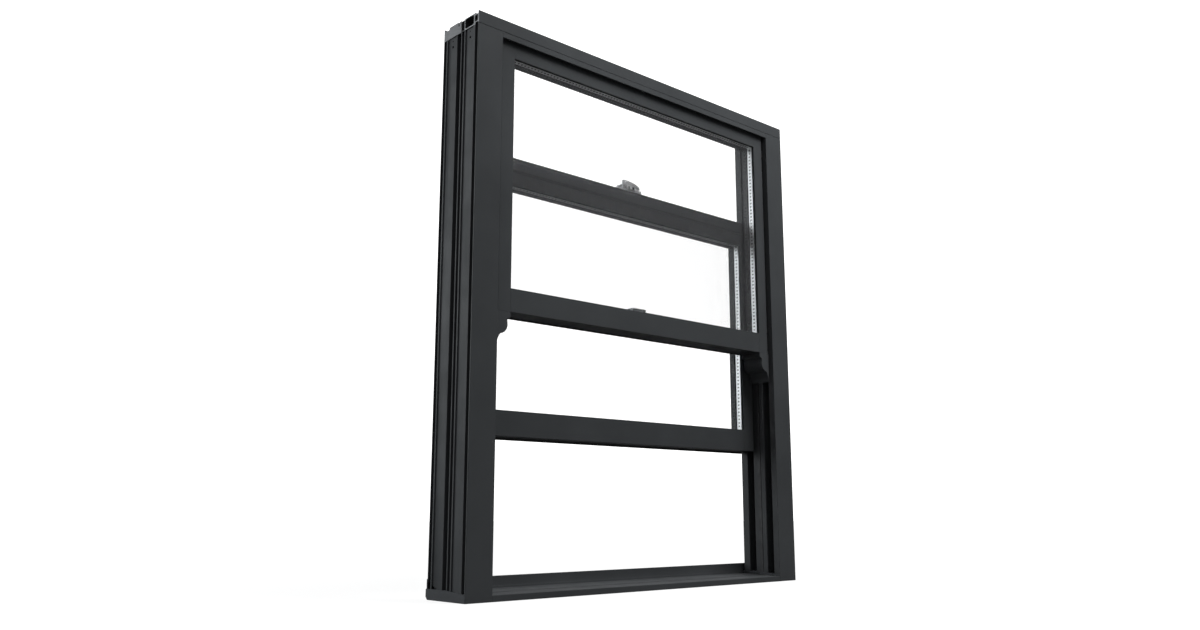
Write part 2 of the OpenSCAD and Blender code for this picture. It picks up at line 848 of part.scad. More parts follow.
module lower_beads_upright() {
    beads_upright(lower_in_x, lower_glass_z0, lower_glass_z1, lower_sash_y + bead_y);
}

// ---- Horns -----------------------------------------------------------------------------------

// Points along an arc from one angle to another
function arc(cx, cz, r, a0, a1, n) =
    [for (i = [0:n]) [cx + r * cos(a0 + (a1 - a0) * i / n), cz + r * sin(a0 + (a1 - a0) * i / n)]];

// Horn outline in width and height: a block, a quirk, then an ogee running out to the jamb
module horn_outline() {
    x0 = upper_in_x;
    x1 = upper_out_x;
    z0 = upper_sash_z;
    tip_z = z0 - horn_h;
    block_h = 12;
    quirk = 7;
    belly_r = 21;
    belly_z = tip_z + 49;
    cove_x = x0 - quirk;
    cove_r = x1 - 1 - cove_x;
    polygon(concat(
        [[x1, z0], [x0, z0], [x0, z0 - block_h], [x0 + quirk + 1.5, z0 - block_h - 3]],
        arc(x0 + quirk + belly_r, belly_z, belly_r, 180, 262, 9),
        arc(cove_x, tip_z, cove_r, 40, 0, 8),
        [[x1, tip_z]]
    ));
}

module horn(s) {
    color("#3a3c3e") side(s) translate([0, upper_sash_y + meeting_d - mid_y, 0])
        rotate([90, 0, 0]) linear_extrude(meeting_d) horn_outline();
}

module horn_left() { horn(-1); }
module horn_right() { horn(1); }

// ---- Balances and guides -----------------------------------------------------------------------

// Centre of a balance slot, in depth and width, for the sash in front or behind
function slot_y(shift) = (slot_start + slot_end) / 2 + shift;

module balance_tube(s, shift, wall_x) {
    side(s) difference() {
        bar_z(tube_d, wall_x + tube_x, slot_y(shift), tube_top_z - tube_l, tube_top_z);
        bar_z(tube_d - 2 * tube_wall, wall_x + tube_x, slot_y(shift),
            tube_top_z - tube_l - 1, tube_top_z - tube_plug_l);
        bar_x(screw_d, wall_x, wall_x + 2 * tube_x, slot_y(shift), tube_screw_z);
    }
}

module upper_balance_tubes() {
    color("#e4e5e6") for (s = [-1, 1]) balance_tube(s, 0, outer_wall_x);
}

module lower_balance_tubes() {
    color("#e4e5e6") for (s = [-1, 1]) balance_tube(s, inner_slot_shift, inner_wall_x);
}

// Screw that pins a tube's top to the back of its slot
module tube_screw(s, shift, wall_x) {
    side(s) {
        bar_x(screw_d, wall_x + tube_x - tube_d / 2, wall_x + slot_depth,
            slot_y(shift), tube_screw_z);
        bar_x(screw_head_d, wall_x + tube_x - tube_d / 2 - screw_head_h, wall_x + tube_x - tube_d / 2,
            slot_y(shift), tube_screw_z);
    }
}

module tube_screws() {
    color("#b9bbbd") for (s = [-1, 1]) {
        tube_screw(s, 0, outer_wall_x);
        tube_screw(s, inner_slot_shift, inner_wall_x);
    }
}

// Rod from the foot of a sash up into its tube, with the bracket that carries the sash
module balance_rod(s, shift, wall_x, x_stile, foot_z, rod_l) {
    x = wall_x + tube_x;
    y = slot_y(shift);
    side(s) {
        bar_z(rod_d, x, y, foot_z, foot_z + rod_l);
        block(x_stile, y - bracket_w / 2, foot_z, x + rod_d, y + bracket_w / 2, foot_z + bracket_h);
    }
}

module upper_balance_rods() {
    z = upper_sash_z + bracket_rise;
    color("#8f9294") for (s = [-1, 1])
        balance_rod(s, 0, outer_wall_x, upper_out_x, z, upper_rod_spare);
}

module lower_balance_rods() {
    z = lower_sash_z + bracket_rise;
    color("#8f9294") for (s = [-1, 1])
        balance_rod(s, inner_slot_shift, inner_wall_x, lower_out_x, z, lower_rod_spare);
}

// T-shaped nylon guide fixed to a stile, with its head held behind the slot's lips
module guide(s, shift, wall_x, x_stile, z0) {
    c = guide_clearance;
    z1 = z0 + guide_l;
    head_x = wall_x + slot_lip + c;
    side(s) {
        block(x_stile, slot_start + shift + c, z0, head_x + 1, slot_end + shift - c, z1);
        block(head_x, slot_start + shift - slot_undercut + c, z0,
            head_x + guide_head_t, slot_end + shift + slot_undercut - c, z1);
    }
}

module upper_guides() {
    color("#dfe0dc") for (s = [-1, 1], z = [upper_sash_z + guide_rise, upper_top_z - guide_inset - guide_l])
        guide(s, 0, outer_wall_x, upper_out_x, z);
}

module lower_guides() {
    color("#dfe0dc") for (s = [-1, 1], z = [lower_sash_z + guide_rise, lower_top_z - guide_inset - guide_l])
        guide(s, inner_slot_shift, inner_wall_x, lower_out_x, z);
}

// ---- Keeper, fastener and lifts ----------------------------------------------------------------

// Screw with a flat head, upright, with the top of its head at z
module upright_screw(x, y, z, len) {
    bar_z(small_screw_d, x, y, z - len, z - small_head_h);
    bar_z(small_head_d, x, y, z - small_head_h, z);
}

// Clearance for an upright screw and its head
module upright_screw_hole(x, y, z, len) {
    bar_z(small_screw_d + hole_play, x, y, z - len - 1, z);
    bar_z(small_head_d + hole_play, x, y, z - small_head_h, z + 1);
}

module keeper() {
    z0 = upper_glass_z0;
    z1 = z0 + keeper_h;
    y1 = keeper_y + keeper_d;
    color("#9a9c9e") difference() {
        block(-keeper_w / 2, keeper_y, z0, keeper_w / 2, y1, z1);
        block(-keeper_w / 2 - 1, y1 - keeper_mouth_d, z1 - keeper_top_t - keeper_mouth_h,
            keeper_w / 2 - keeper_mouth_d, y1 + 1, z1 - keeper_top_t);
        block(-keeper_w / 2 + 2, keeper_y - 1, z1 - 6, keeper_w / 2 - 2, keeper_y + 1.2, z1 - 2);
        for (x = [-keeper_screw_x, keeper_screw_x])
            upright_screw_hole(x, keeper_y + keeper_screw_y, z1, keeper_h + 1);
    }
}

module keeper_screws() {
    z1 = upper_glass_z0 + keeper_h;
    color("#c4c6c8") for (x = [-keeper_screw_x, keeper_screw_x])
        upright_screw(x, keeper_y + keeper_screw_y, z1, keeper_h + screw_bite);
}

module fastener_base() {
    z = lower_top_z;
    y0 = pivot_y - housing_d / 2;
    y1 = y0 + housing_d;
    hx = housing_w / 2;
    fx = fastener_w / 2;
    color("#c9cbcd") difference() {
        union() {
            block(-fx, y0, z, fx, y1, z + base_t);
            block(hx, y0, z, fx, y1, z + foot_h);
            block(-hx, y1 - bridge_t, z, hx, y1, z + fastener_h);
            block(hx - bridge_t, y0, z, hx, y1, z + fastener_h);
            block(-hx, y0, z + fastener_h - bridge_t, hx, y1, z + fastener_h);
        }
        bar_z(pivot_d + 2 * pivot_play, pivot_x, pivot_y, z + 1, z + fastener_h + 1);
        upright_screw_hole(-fastener_screw_x, pivot_y, z + base_t, base_t);
        upright_screw_hole(fastener_screw_x, pivot_y, z + foot_h, foot_h);
    }
}

module fastener_screws() {
    z = lower_top_z;
    color("#d3d5d7") {
        upright_screw(-fastener_screw_x, pivot_y, z + base_t, base_t + screw_bite);
        upright_screw(fastener_screw_x, pivot_y, z + foot_h, foot_h + screw_bite);
    }
}

// Side view of the handle: a level top that droops to a rounded tip over the right foot
module handle_outline() {
    tip_x = pivot_x + lever_l;
    root_x = pivot_x - boss_d / 2 + 1;
    top = lever_top;
    over_r = 15;
    under_r = 9;
    tail = top - over_r;
    droop = arc(tip_x - over_r, tail, over_r, 90, 0, 8);
    under = arc(tip_x - over_r - 2, lever_clear - under_r, under_r, 35, 90, 5);
    polygon(concat([[root_x, lever_clear], [root_x, top]], droop,
        [[tip_x, tail - 2], [tip_x - 4, tail - 3]], under));
}

// Cam, spindle and handle, turning together about the spindle
module cam_lever() {
    z = lower_top_z;
    cam_z = z + base_t + cam_play;
    color("#d9dbdd") {
        bar_z(pivot_d, pivot_x, pivot_y, z + spindle_foot, z + lever_clear + 2);
        bar_z(drum_d, pivot_x, pivot_y, cam_z, z + fastener_h - bridge_t - cam_play);
        block(pivot_x - cam_reach, pivot_y - cam_w / 2, cam_z,
            pivot_x, pivot_y + cam_w / 2, cam_z + cam_t);
        bar_z(boss_d, pivot_x, pivot_y, z + lever_clear, z + lever_top);
        translate([0, pivot_y - mid_y + handle_w / 2, z]) rotate([90, 0, 0])
            linear_extrude(handle_w) handle_outline();
    }
}

// Finger lifts on the room side of the bottom rail
module sash_lifts() {
    y = lower_sash_y + sash_d;
    z = lower_sash_z + lift_rise;
    color("#3a3c3e") for (x = [-lift_x, lift_x]) translate([x, 0, 0]) along_x(lift_w) {
        rect(y, z, y + lift_t, z + lift_h);
        rect(y, z + lift_h / 2, y + lift_reach, z + lift_h / 2 + lift_t);
        rect(y + lift_reach - lift_t, z + lift_t, y + lift_reach, z + lift_h / 2 + lift_t);
    }
}

head_outer();
head_inner();
head_caps();
head_break();
head_trim();
jamb_left_outer();
jamb_left_inner();
jamb_left_break();
jamb_right_outer();
jamb_right_inner();
jamb_right_break();
sill_outer();
sill_inner();
sill_break();
sill_end_left();
sill_end_right();
upper_balance_tubes();
lower_balance_tubes();
tube_screws();
head_buffers();
upper_top_rail();
upper_meeting_rail();
upper_stile_left();
upper_stile_right();
upper_pane_outer();
upper_pane_inner();
upper_spacer();
upper_edge_seal();
upper_gasket_outer();
upper_gasket_inner();
upper_bead_top();
upper_beads_upright();
horn_left();
horn_right();
keeper();
keeper_screws();
upper_guides();
upper_balance_rods();
upper_piles();
lower_meeting_rail();
lower_bottom_rail();
lower_stile_left();
lower_stile_right();
lower_pane_outer();
lower_pane_inner();
lower_spacer();
lower_edge_seal();
lower_gasket_outer();
lower_gasket_inner();
lower_beads_level();
lower_beads_upright();
fastener_base();
fastener_screws();
sash_lifts();
sill_seal();
lower_guides();
lower_balance_rods();
lower_piles();
meeting_pile();
cam_lever();
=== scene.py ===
"""Looks of a vertical sliding sash window in anthracite aluminium.

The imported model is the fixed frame. This script gives every part its finish, softens the
arrises of the extrusions, and adds the fine pieces: gaskets, perforated spacer bars, brush
seals, twisted balance rods, cross-head screws and the cam fastener's turned and cast parts.
Lengths are in metres, X across the window, Y from the outside face to the room, Z up.
"""

import logging
import math
from dataclasses import dataclass, field
from enum import Enum
from typing import Iterable, Sequence

import bmesh
import bpy
import numpy as np
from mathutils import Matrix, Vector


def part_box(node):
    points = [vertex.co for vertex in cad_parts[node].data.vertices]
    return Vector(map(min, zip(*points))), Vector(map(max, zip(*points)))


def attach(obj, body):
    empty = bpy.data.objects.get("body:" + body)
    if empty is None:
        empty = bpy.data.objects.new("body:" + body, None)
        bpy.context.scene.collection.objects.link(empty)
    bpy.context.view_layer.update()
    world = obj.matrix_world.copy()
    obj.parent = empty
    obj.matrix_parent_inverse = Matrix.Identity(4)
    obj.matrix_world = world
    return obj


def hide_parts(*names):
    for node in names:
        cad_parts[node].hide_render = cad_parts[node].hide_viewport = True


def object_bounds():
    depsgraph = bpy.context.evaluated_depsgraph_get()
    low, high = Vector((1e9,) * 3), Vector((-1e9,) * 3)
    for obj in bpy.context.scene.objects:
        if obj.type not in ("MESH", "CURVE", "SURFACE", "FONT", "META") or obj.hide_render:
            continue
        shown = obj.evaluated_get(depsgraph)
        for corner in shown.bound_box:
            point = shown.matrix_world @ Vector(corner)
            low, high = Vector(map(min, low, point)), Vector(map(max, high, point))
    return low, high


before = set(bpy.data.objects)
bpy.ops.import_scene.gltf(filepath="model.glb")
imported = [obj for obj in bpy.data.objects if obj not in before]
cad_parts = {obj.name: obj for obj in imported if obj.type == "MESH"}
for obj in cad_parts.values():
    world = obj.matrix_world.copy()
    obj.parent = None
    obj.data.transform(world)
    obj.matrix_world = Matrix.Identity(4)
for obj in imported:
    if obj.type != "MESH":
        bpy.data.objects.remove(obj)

LOG = logging.getLogger("sash_window")
MM = 0.001
CAD_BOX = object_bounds()

Socket = bpy.types.NodeSocket
Object = bpy.types.Object
Material = bpy.types.Material
Colour = tuple[float, float, float]
Point = tuple[float, float, float]


class Axis(Enum):
    """A direction of the window's own frame."""

    X = 0
    Y = 1
    Z = 2


class Body(Enum):
    """The moving groups that a piece can ride on."""

    FRAME = "frame"
    UPPER_SASH = "upper_sash"
    LOWER_SASH = "lower_sash"
    LEVER = "fastener_lever"


class Sash(Enum):
    """The two sashes, by the first word of their parts' names."""

    UPPER = "upper"
    LOWER = "lower"


# ---- Node trees -------------------------------------------------------------------------------


class Tree:
    """A material's node tree with short calls for the nodes that the finishes share."""

    def __init__(self, name: str) -> None:
        """Starts a material with its principled shader.

        Args:
            name: the material's name.
        """
        self.material = bpy.data.materials.new(name)
        self.material.use_nodes = True
        self.nodes = self.material.node_tree.nodes
        self.links = self.material.node_tree.links
        self.shader = next(n for n in self.nodes if n.type == "BSDF_PRINCIPLED")
        self.place = self.add("ShaderNodeTexCoord").outputs["Object"]

    def add(self, kind: str, **settings: object) -> bpy.types.Node:
        """Adds a node.

        Args:
            kind: the node's Blender type.
            **settings: properties to set on it.

        Returns:
            The new node.
        """
        node = self.nodes.new(kind)
        for key, value in settings.items():
            setattr(node, key, value)
        return node

    def give(self, target: Socket, value: object) -> None:
        """Links an input to a socket, or sets its value.

        Args:
            target: the input.
            value: a socket to link, or a value to set.
        """
        if isinstance(value, Socket):
            self.links.new(value, target)
        else:
            target.default_value = value

    def feed(self, node: bpy.types.Node, **inputs: object) -> None:
        """Sets or links a node's inputs, named with underscores for spaces.

        Args:
            node: the node to feed.
            **inputs: a socket to link, or a value to set.
        """
        for key, value in inputs.items():
            name = key.replace("_", " ")
            self.give(next(s for s in node.inputs if s.name == name and s.enabled), value)

    def stretched(self, scale: Point) -> Socket:
        """Object coordinates stretched along the axes, to draw grain out along a part.

        Args:
            scale: the stretch along X, Y and Z.

        Returns:
            The stretched coordinates.
        """
        node = self.add("ShaderNodeMapping")
        self.feed(node, Vector=self.place, Scale=scale)
        return node.outputs["Vector"]

    def noise(self, scale: float, detail: float = 2.0, place: Socket | None = None,
              distortion: float = 0.0) -> Socket:
        """Fractal noise.

        Args:
            scale: features per metre.
            detail: number of finer layers.
            place: coordinates to read, the object's own by default.
            distortion: how far the noise bends itself.

        Returns:
            The noise value, about 0.3 to 0.7.
        """
        node = self.add("ShaderNodeTexNoise")
        self.feed(node, Vector=place or self.place, Scale=scale, Detail=detail,
                  Distortion=distortion)
        return node.outputs["Fac"]

    def cells(self, scale: float) -> Socket:
        """Distance to the nearest of scattered points, for dimples.

        Args:
            scale: points per metre.

        Returns:
            The distance, as a share of the points' spacing.
        """
        node = self.add("ShaderNodeTexVoronoi")
        self.feed(node, Vector=self.place, Scale=scale)
        return node.outputs["Distance"]

    def remap(self, value: Socket, low: float, high: float, to_low: float,
              to_high: float) -> Socket:
        """Maps a value's range onto another, clamped.

        Args:
            value: the value to map.
            low: start of its range.
            high: end of its range.
            to_low: result at the start.
            to_high: result at the end.

        Returns:
            The mapped value.
        """
        node = self.add("ShaderNodeMapRange")
        self.feed(node, Value=value, From_Min=low, From_Max=high, To_Min=to_low, To_Max=to_high)
        return node.outputs["Result"]

    def mix(self, factor: Socket, low: Colour | Socket, high: Colour | Socket) -> Socket:
        """Blends two colours by a factor.

        Args:
            factor: how much of the second colour shows.
            low: the first colour, or a socket.
            high: the second colour, or a socket.

        Returns:
            The blended colour.
        """
        node = self.add("ShaderNodeMix", data_type="RGBA")
        self.give(node.inputs[0], factor)
        for target, colour in zip(node.inputs[6:8], (low, high)):
            self.give(target, colour if isinstance(colour, Socket) else (*colour, 1.0))
        return node.outputs[2]

    def calc(self, operation: str, *values: Socket | float) -> Socket:
        """One step of arithmetic on sockets or numbers.

        Args:
            operation: the step's name in Blender's Math node.
            *values: what it works on, in order.

        Returns:
            The result.
        """
        node = self.add("ShaderNodeMath", operation=operation)
        for target, value in zip(node.inputs, values):
            self.give(target, value)
        return node.outputs[0]

    def axis(self, axis: Axis, source: Socket | None = None) -> Socket:
        """One component of the object coordinates, or of another vector.

        Args:
            axis: which component.
            source: the other vector, if any.

        Returns:
            The component.
        """
        node = self.add("ShaderNodeSeparateXYZ")
        self.links.new(source or self.place, node.inputs[0])
        return node.outputs[axis.value]

    def facing(self, axis: Axis) -> Socket:
        """One component of the surface's direction, for dust and cut ends."""
        return self.axis(axis, self.add("ShaderNodeNewGeometry").outputs["Normal"])

    def bump(self, height: Socket, strength: float, distance: float,
             under: Socket | None = None) -> Socket:
        """Turns a height into a bent normal, on top of another one if given.

        Args:
            height: the height pattern.
            strength: how much of it shows, 0 to 1.
            distance: the relief's depth in metres.
            under: the normal below it, if any.

        Returns:
            The bent normal.
        """
        node = self.add("ShaderNodeBump")
        self.feed(node, Height=height, Strength=strength, Distance=distance)
        if under is not None:
            self.links.new(under, node.inputs["Normal"])
        return node.outputs["Normal"]

    def finish(self, **inputs: object) -> Material:
        """Feeds the shader and gives back the material."""
        self.feed(self.shader, **inputs)
        return self.material


# ---- Finishes ---------------------------------------------------------------------------------


@dataclass(frozen=True)
class Finish:
    """What every finish has: a name, and a way to build its material."""

    name: str

    def build(self) -> Material:
        """Builds the material."""
        raise NotImplementedError


@dataclass(frozen=True)
class PowderCoat(Finish):
    """Matt powder coat with a fine leathery texture, a little dust and slight shade changes.

    With cut_x set, faces beyond that distance from the middle that look sideways are the bare
    sawn aluminium of the extrusion's ends.
    """

    colour: Colour = (0.036, 0.0385, 0.0405)
    roughness: float = 0.5
    dust: float = 0.03
    cut_x: float = 0.0

    def build(self) -> Material:
        """Builds the coat: colour from two noises, dust on faces that look up, fine bump.

        Returns:
            The coat's material.
        """
        t = Tree(self.name)
        shade = t.remap(t.noise(5.0, 4.0), 0.35, 0.65, 0.9, 1.12)
        speck = t.remap(t.noise(900.0, 2.0), 0.35, 0.65, 0.93, 1.08)
        base = t.mix(t.calc("MULTIPLY", shade, 0.5), (0.0, 0.0, 0.0),
                     tuple(2 * c for c in self.colour))
        base = t.mix(t.remap(speck, 0.9, 1.1, 0.0, 0.12), base, (0.055, 0.058, 0.062))
        up = t.remap(t.facing(Axis.Z), 0.55, 0.98, 0.0, 1.0)
        film = t.calc("MULTIPLY", up, t.remap(t.noise(38.0, 5.0), 0.4, 0.62, 0.1, 1.0))
        base = t.mix(t.calc("MULTIPLY", film, self.dust), base, (0.32, 0.31, 0.29))
        rough = t.remap(t.noise(14.0, 3.0), 0.35, 0.65, self.roughness - 0.04,
                        self.roughness + 0.06)
        coat = t.bump(t.noise(620.0, 2.0), 0.10, 0.00012)
        coat = t.bump(t.noise(2600.0, 1.0), 0.12, 0.00005, coat)
        if not self.cut_x:
            return t.finish(Base_Color=base, Roughness=rough, Normal=coat, Specular_IOR_Level=0.25)
        far = t.calc("GREATER_THAN", t.calc("ABSOLUTE", t.axis(Axis.X)), self.cut_x)
        side = t.calc("GREATER_THAN", t.calc("ABSOLUTE", t.facing(Axis.X)), 0.8)
        cut = t.calc("MULTIPLY", far, side)
        saw = t.noise(420.0, 3.0, t.stretched((1.0, 0.08, 1.0)))
        bare = t.mix(t.remap(saw, 0.35, 0.65, 0.0, 1.0), (0.17, 0.173, 0.177), (0.30, 0.303, 0.308))
        return t.finish(
            Base_Color=t.mix(cut, base, bare),
            Metallic=t.calc("MULTIPLY", cut, 0.5),
            Roughness=t.calc("ADD", t.calc("MULTIPLY", cut, -0.08), rough),
            Normal=t.bump(t.calc("MULTIPLY", cut, saw), 0.25, 0.0001, coat),
            Specular_IOR_Level=0.25,
        )


@dataclass(frozen=True)
class Metal(Finish):
    """Bare or plated metal with drawn or cast grain.

    grain is the stretch of the coordinates: a small number draws the grain out that way.
    """

    colour: Colour = (0.7, 0.71, 0.72)
    shade: float = 0.85
    roughness: float = 0.28
    metallic: float = 1.0
    scale: float = 700.0
    grain: Point = (1.0, 1.0, 1.0)
    relief: float = 0.10

    def build(self) -> Material:
        """Builds the metal: grain noise drives colour, roughness and bump, with faint smears.

        Returns:
            The metal's material.
        """
        t = Tree(self.name)
        grain = t.noise(self.scale, 3.0, t.stretched(self.grain))
        smear = t.noise(60.0, 4.0, distortion=0.4)
        dull = tuple(c * self.shade for c in self.colour)
        base = t.mix(t.remap(grain, 0.3, 0.7, 0.0, 1.0), dull, self.colour)
        base = t.mix(t.remap(smear, 0.5, 0.8, 0.0, 0.35), base, dull)
        rough = t.calc("ADD", t.remap(grain, 0.3, 0.7, -0.05, 0.07),
                       t.remap(smear, 0.35, 0.7, self.roughness, self.roughness + 0.1))
        return t.finish(Base_Color=base, Metallic=self.metallic, Roughness=rough,
                        Normal=t.bump(grain, self.relief, 0.0001))


@dataclass(frozen=True)
class SpacerBar(Finish):
    """Bright spacer bar with two rows of small vent holes down the face that looks inwards."""

    colour: Colour = (0.93, 0.935, 0.94)
    pitch: float = 0.0096
    rows: tuple[float, float] = (0.0, 0.0)
    row_half: float = 0.0009

    def build(self) -> Material:
        """Builds the bar: holes where a sine along the bar and a band across it are both high.

        Returns:
            The bar's material.
        """
        t = Tree(self.name)
        along = t.calc("ADD", t.axis(Axis.X), t.axis(Axis.Z))
        wave = t.calc("SINE", t.calc("MULTIPLY", along, 2 * math.pi / self.pitch))
        dash = t.remap(wave, 0.1, 0.5, 0.0, 1.0)
        deep = t.axis(Axis.Y)
        near = [t.remap(t.calc("ABSOLUTE", t.calc("SUBTRACT", deep, y)), self.row_half,
                        self.row_half + 0.0003, 1.0, 0.0) for y in self.rows]
        hole = t.calc("MULTIPLY", dash, t.calc("MAXIMUM", *near))
        drawn = t.noise(900.0, 2.0, t.stretched((0.03, 1.0, 0.03)))
        metal = t.mix(t.remap(drawn, 0.35, 0.65, 0.0, 1.0), tuple(c * 0.9 for c in self.colour),
                      self.colour)
        return t.finish(
            Base_Color=t.mix(hole, metal, (0.10, 0.10, 0.10)), Metallic=0.85,
            Roughness=t.remap(drawn, 0.3, 0.7, 0.38, 0.48),
            Normal=t.bump(t.calc("SUBTRACT", drawn, hole), 0.4, 0.0002))


@dataclass(frozen=True)
class Rubber(Finish):
    """Extruded rubber: near black, satin, with die lines and a bloom of dust."""

    colour: Colour = (0.012, 0.012, 0.013)
    roughness: float = 0.55

    def build(self) -> Material:
        """Builds the rubber: stretched noise for die lines and soft noise for bloom.

        Returns:
            The rubber's material.
        """
        t = Tree(self.name)
        line = t.noise(1500.0, 2.0, t.stretched((0.05, 1.0, 0.05)))
        bloom = t.noise(70.0, 5.0)
        base = t.mix(t.remap(bloom, 0.45, 0.75, 0.0, 0.5), self.colour, (0.035, 0.035, 0.034))
        return t.finish(Base_Color=base, Normal=t.bump(line, 0.2, 0.0001),
                        Roughness=t.remap(bloom, 0.3, 0.7, self.roughness - 0.08,
                                          self.roughness + 0.15))


@dataclass(frozen=True)
class Plastic(Finish):
    """Moulded or extruded plastic with a faint grain, cloudiness and some light through it."""

    colour: Colour = (0.7, 0.7, 0.67)
    roughness: float = 0.4
    through: float = 0.05
    scale: float = 500.0

    def build(self) -> Material:
        """Builds the plastic: cloud noise in the colour, dimple noise in the bump.

        Returns:
            The plastic's material.
        """
        t = Tree(self.name)
        cloud = t.noise(45.0, 4.0)
        dimple = t.cells(self.scale)
        dark = tuple(c * 0.84 for c in self.colour)
        return t.finish(
            Base_Color=t.mix(t.remap(cloud, 0.35, 0.7, 0.0, 1.0), self.colour, dark),
            Roughness=t.remap(cloud, 0.3, 0.7, self.roughness - 0.06, self.roughness + 0.1),
            Normal=t.bump(dimple, 0.12, 0.0001), Subsurface_Weight=self.through,
            Subsurface_Scale=0.002)


@dataclass(frozen=True)
class Pile(Finish):
    """Woven pile: fine dark fibres that stand across the strip."""

    colour: Colour = (0.009, 0.0094, 0.010)
    across: Axis = Axis.Z

    def build(self) -> Material:
        """Builds the pile: noise squeezed along the strip so that it reads as single fibres.

        Returns:
            The pile's material.
        """
        t = Tree(self.name)
        stretch = [0.12, 0.12, 0.12]
        stretch[self.across.value] = 1.0
        fibre = t.noise(2600.0, 2.0, t.stretched(tuple(stretch)))
        tuft = t.noise(160.0, 3.0)
        pale = tuple(c * 2.2 for c in self.colour)
        base = t.mix(t.remap(fibre, 0.35, 0.7, 0.0, 1.0), self.colour, pale)
        base = t.mix(t.remap(tuft, 0.45, 0.7, 0.0, 0.5), base, self.colour)
        return t.finish(Base_Color=base, Roughness=0.9, Sheen_Weight=0.1,
                        Normal=t.bump(fibre, 0.8, 0.0004))


@dataclass(frozen=True)
class FloatGlass(Finish):
    """Clear float glass: green in its cut edges, with a trace of dust and wipe marks."""

    def build(self) -> Material:
        """Builds the glass: clear and refracting, with faint smears as a thin rough coat.

        Returns:
            The glass's material.
        """
        t = Tree(self.name)
        smear = t.noise(6.0, 6.0, t.stretched((1.0, 1.0, 0.35)), 1.2)
        edge = t.calc("MAXIMUM", t.calc("ABSOLUTE", t.facing(Axis.X)),
                      t.calc("ABSOLUTE", t.facing(Axis.Z)))
        cut = t.calc("GREATER_THAN", edge, 0.5)
        return t.finish(
            Base_Color=t.mix(cut, (1.0, 1.0, 1.0), (0.30, 0.62, 0.50)),
            Roughness=t.calc("MULTIPLY", cut, 0.35),
            Coat_Weight=t.remap(smear, 0.55, 0.9, 0.0, 0.03), Coat_Roughness=0.25,
            Transmission_Weight=1.0, IOR=1.5, Specular_IOR_Level=0.16)


@dataclass
class Finishes:
    """Every finish of the window, built once, by its own name.

    cut_depth is how thin a slice at the extrusions' ends counts as sawn, and vent_shift how far
    each row of vents stands from the middle of its spacer bar, as a share of the bar's depth.
    """

    cut_depth: float = 0.4 * MM
    vent_shift: float = 0.08
    made: dict[str, Material] = field(default_factory=dict)

    def build(self) -> None:
        """Builds every finish's material, from the frame's own sizes where it needs them."""
        end = CAD_BOX[1].x - self.cut_depth
        vents = {}
        for sash in Sash:
            lo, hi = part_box(f"{sash.value}_spacer")
            mid, off = (lo.y + hi.y) / 2, (hi.y - lo.y) * self.vent_shift
            vents[sash] = (mid - off, mid + off)
        table: Sequence[Finish] = (
            PowderCoat("anthracite_coat"),
            PowderCoat("anthracite_coat_cut", cut_x=end),
            PowderCoat("end_plate", colour=(0.044, 0.047, 0.051), roughness=0.46, dust=0.0),
            Metal("mill_plate", (0.20, 0.203, 0.207), 0.7, 0.45, 0.35, 420.0, (1.0, 0.1, 0.6)),
            Plastic("polyamide", (0.016, 0.0165, 0.018), 0.55, 0.0, 900.0),
            Plastic("balance_tube", (0.70, 0.71, 0.70), 0.25, 0.15, 200.0),
            Metal("balance_rod", (0.52, 0.53, 0.54), 0.7, 0.3, scale=900.0, grain=(1.0, 1.0, 0.1)),
            Metal("zinc_screw", (0.74, 0.75, 0.76), 0.8, 0.3, scale=1400.0),
            Rubber("rubber", (0.014, 0.014, 0.015), 0.6),
            Rubber("gasket", (0.010, 0.010, 0.011), 0.5),
            Rubber("edge_seal", (0.012, 0.012, 0.013), 0.7),
            SpacerBar("spacer_bar", rows=vents[Sash.UPPER]),
            SpacerBar("spacer_bar_lower", rows=vents[Sash.LOWER]),
            FloatGlass("clear_glass"),
            # near-white and barely metallic: the pale colour is partly the fastener's own and
            # partly painted reflection of the white surroundings that bright chrome would mirror
            Metal("satin_chrome", (0.94, 0.945, 0.95), 0.96, 0.32, 0.1, 1100.0, (0.15, 1.0, 1.0),
                  0.05),
            Metal("cast_keeper", (0.40, 0.41, 0.42), 0.85, 0.42, 0.8, 900.0, relief=0.3),
            Plastic("nylon", (0.022, 0.022, 0.023), 0.5, 0.0),
            Pile("pile"),
            Pile("pile_level", across=Axis.X),
        )
        for finish in table:
            self.made[finish.name] = finish.build()
            LOG.info("finish %s", finish.name)

    def dress(self, piece: Object, name: str) -> None:
        """Gives a piece one finish in place of whatever it had."""
        piece.data.materials.clear()
        piece.data.materials.append(self.made[name])


# ---- Surfaces worked out with numpy -----------------------------------------------------------


def signed_volume(points: np.ndarray, quads: np.ndarray) -> float:
    """Volume enclosed by quads, positive when they face outwards.

    Each quad is two triangles, and each triangle adds a sixth of a . (b x c).

    Args:
        points: (n, 3) array of corners.
        quads: (m, 4) array of corner numbers.

    Returns:
        The signed volume.
    """
    tris = np.concatenate([quads[:, [0, 1, 2]], quads[:, [0, 2, 3]]])
    a, b, c = (points[tris[:, k]] for k in range(3))
    return float(np.einsum("ij,ij->i", a, np.cross(b, c)).sum() / 6)


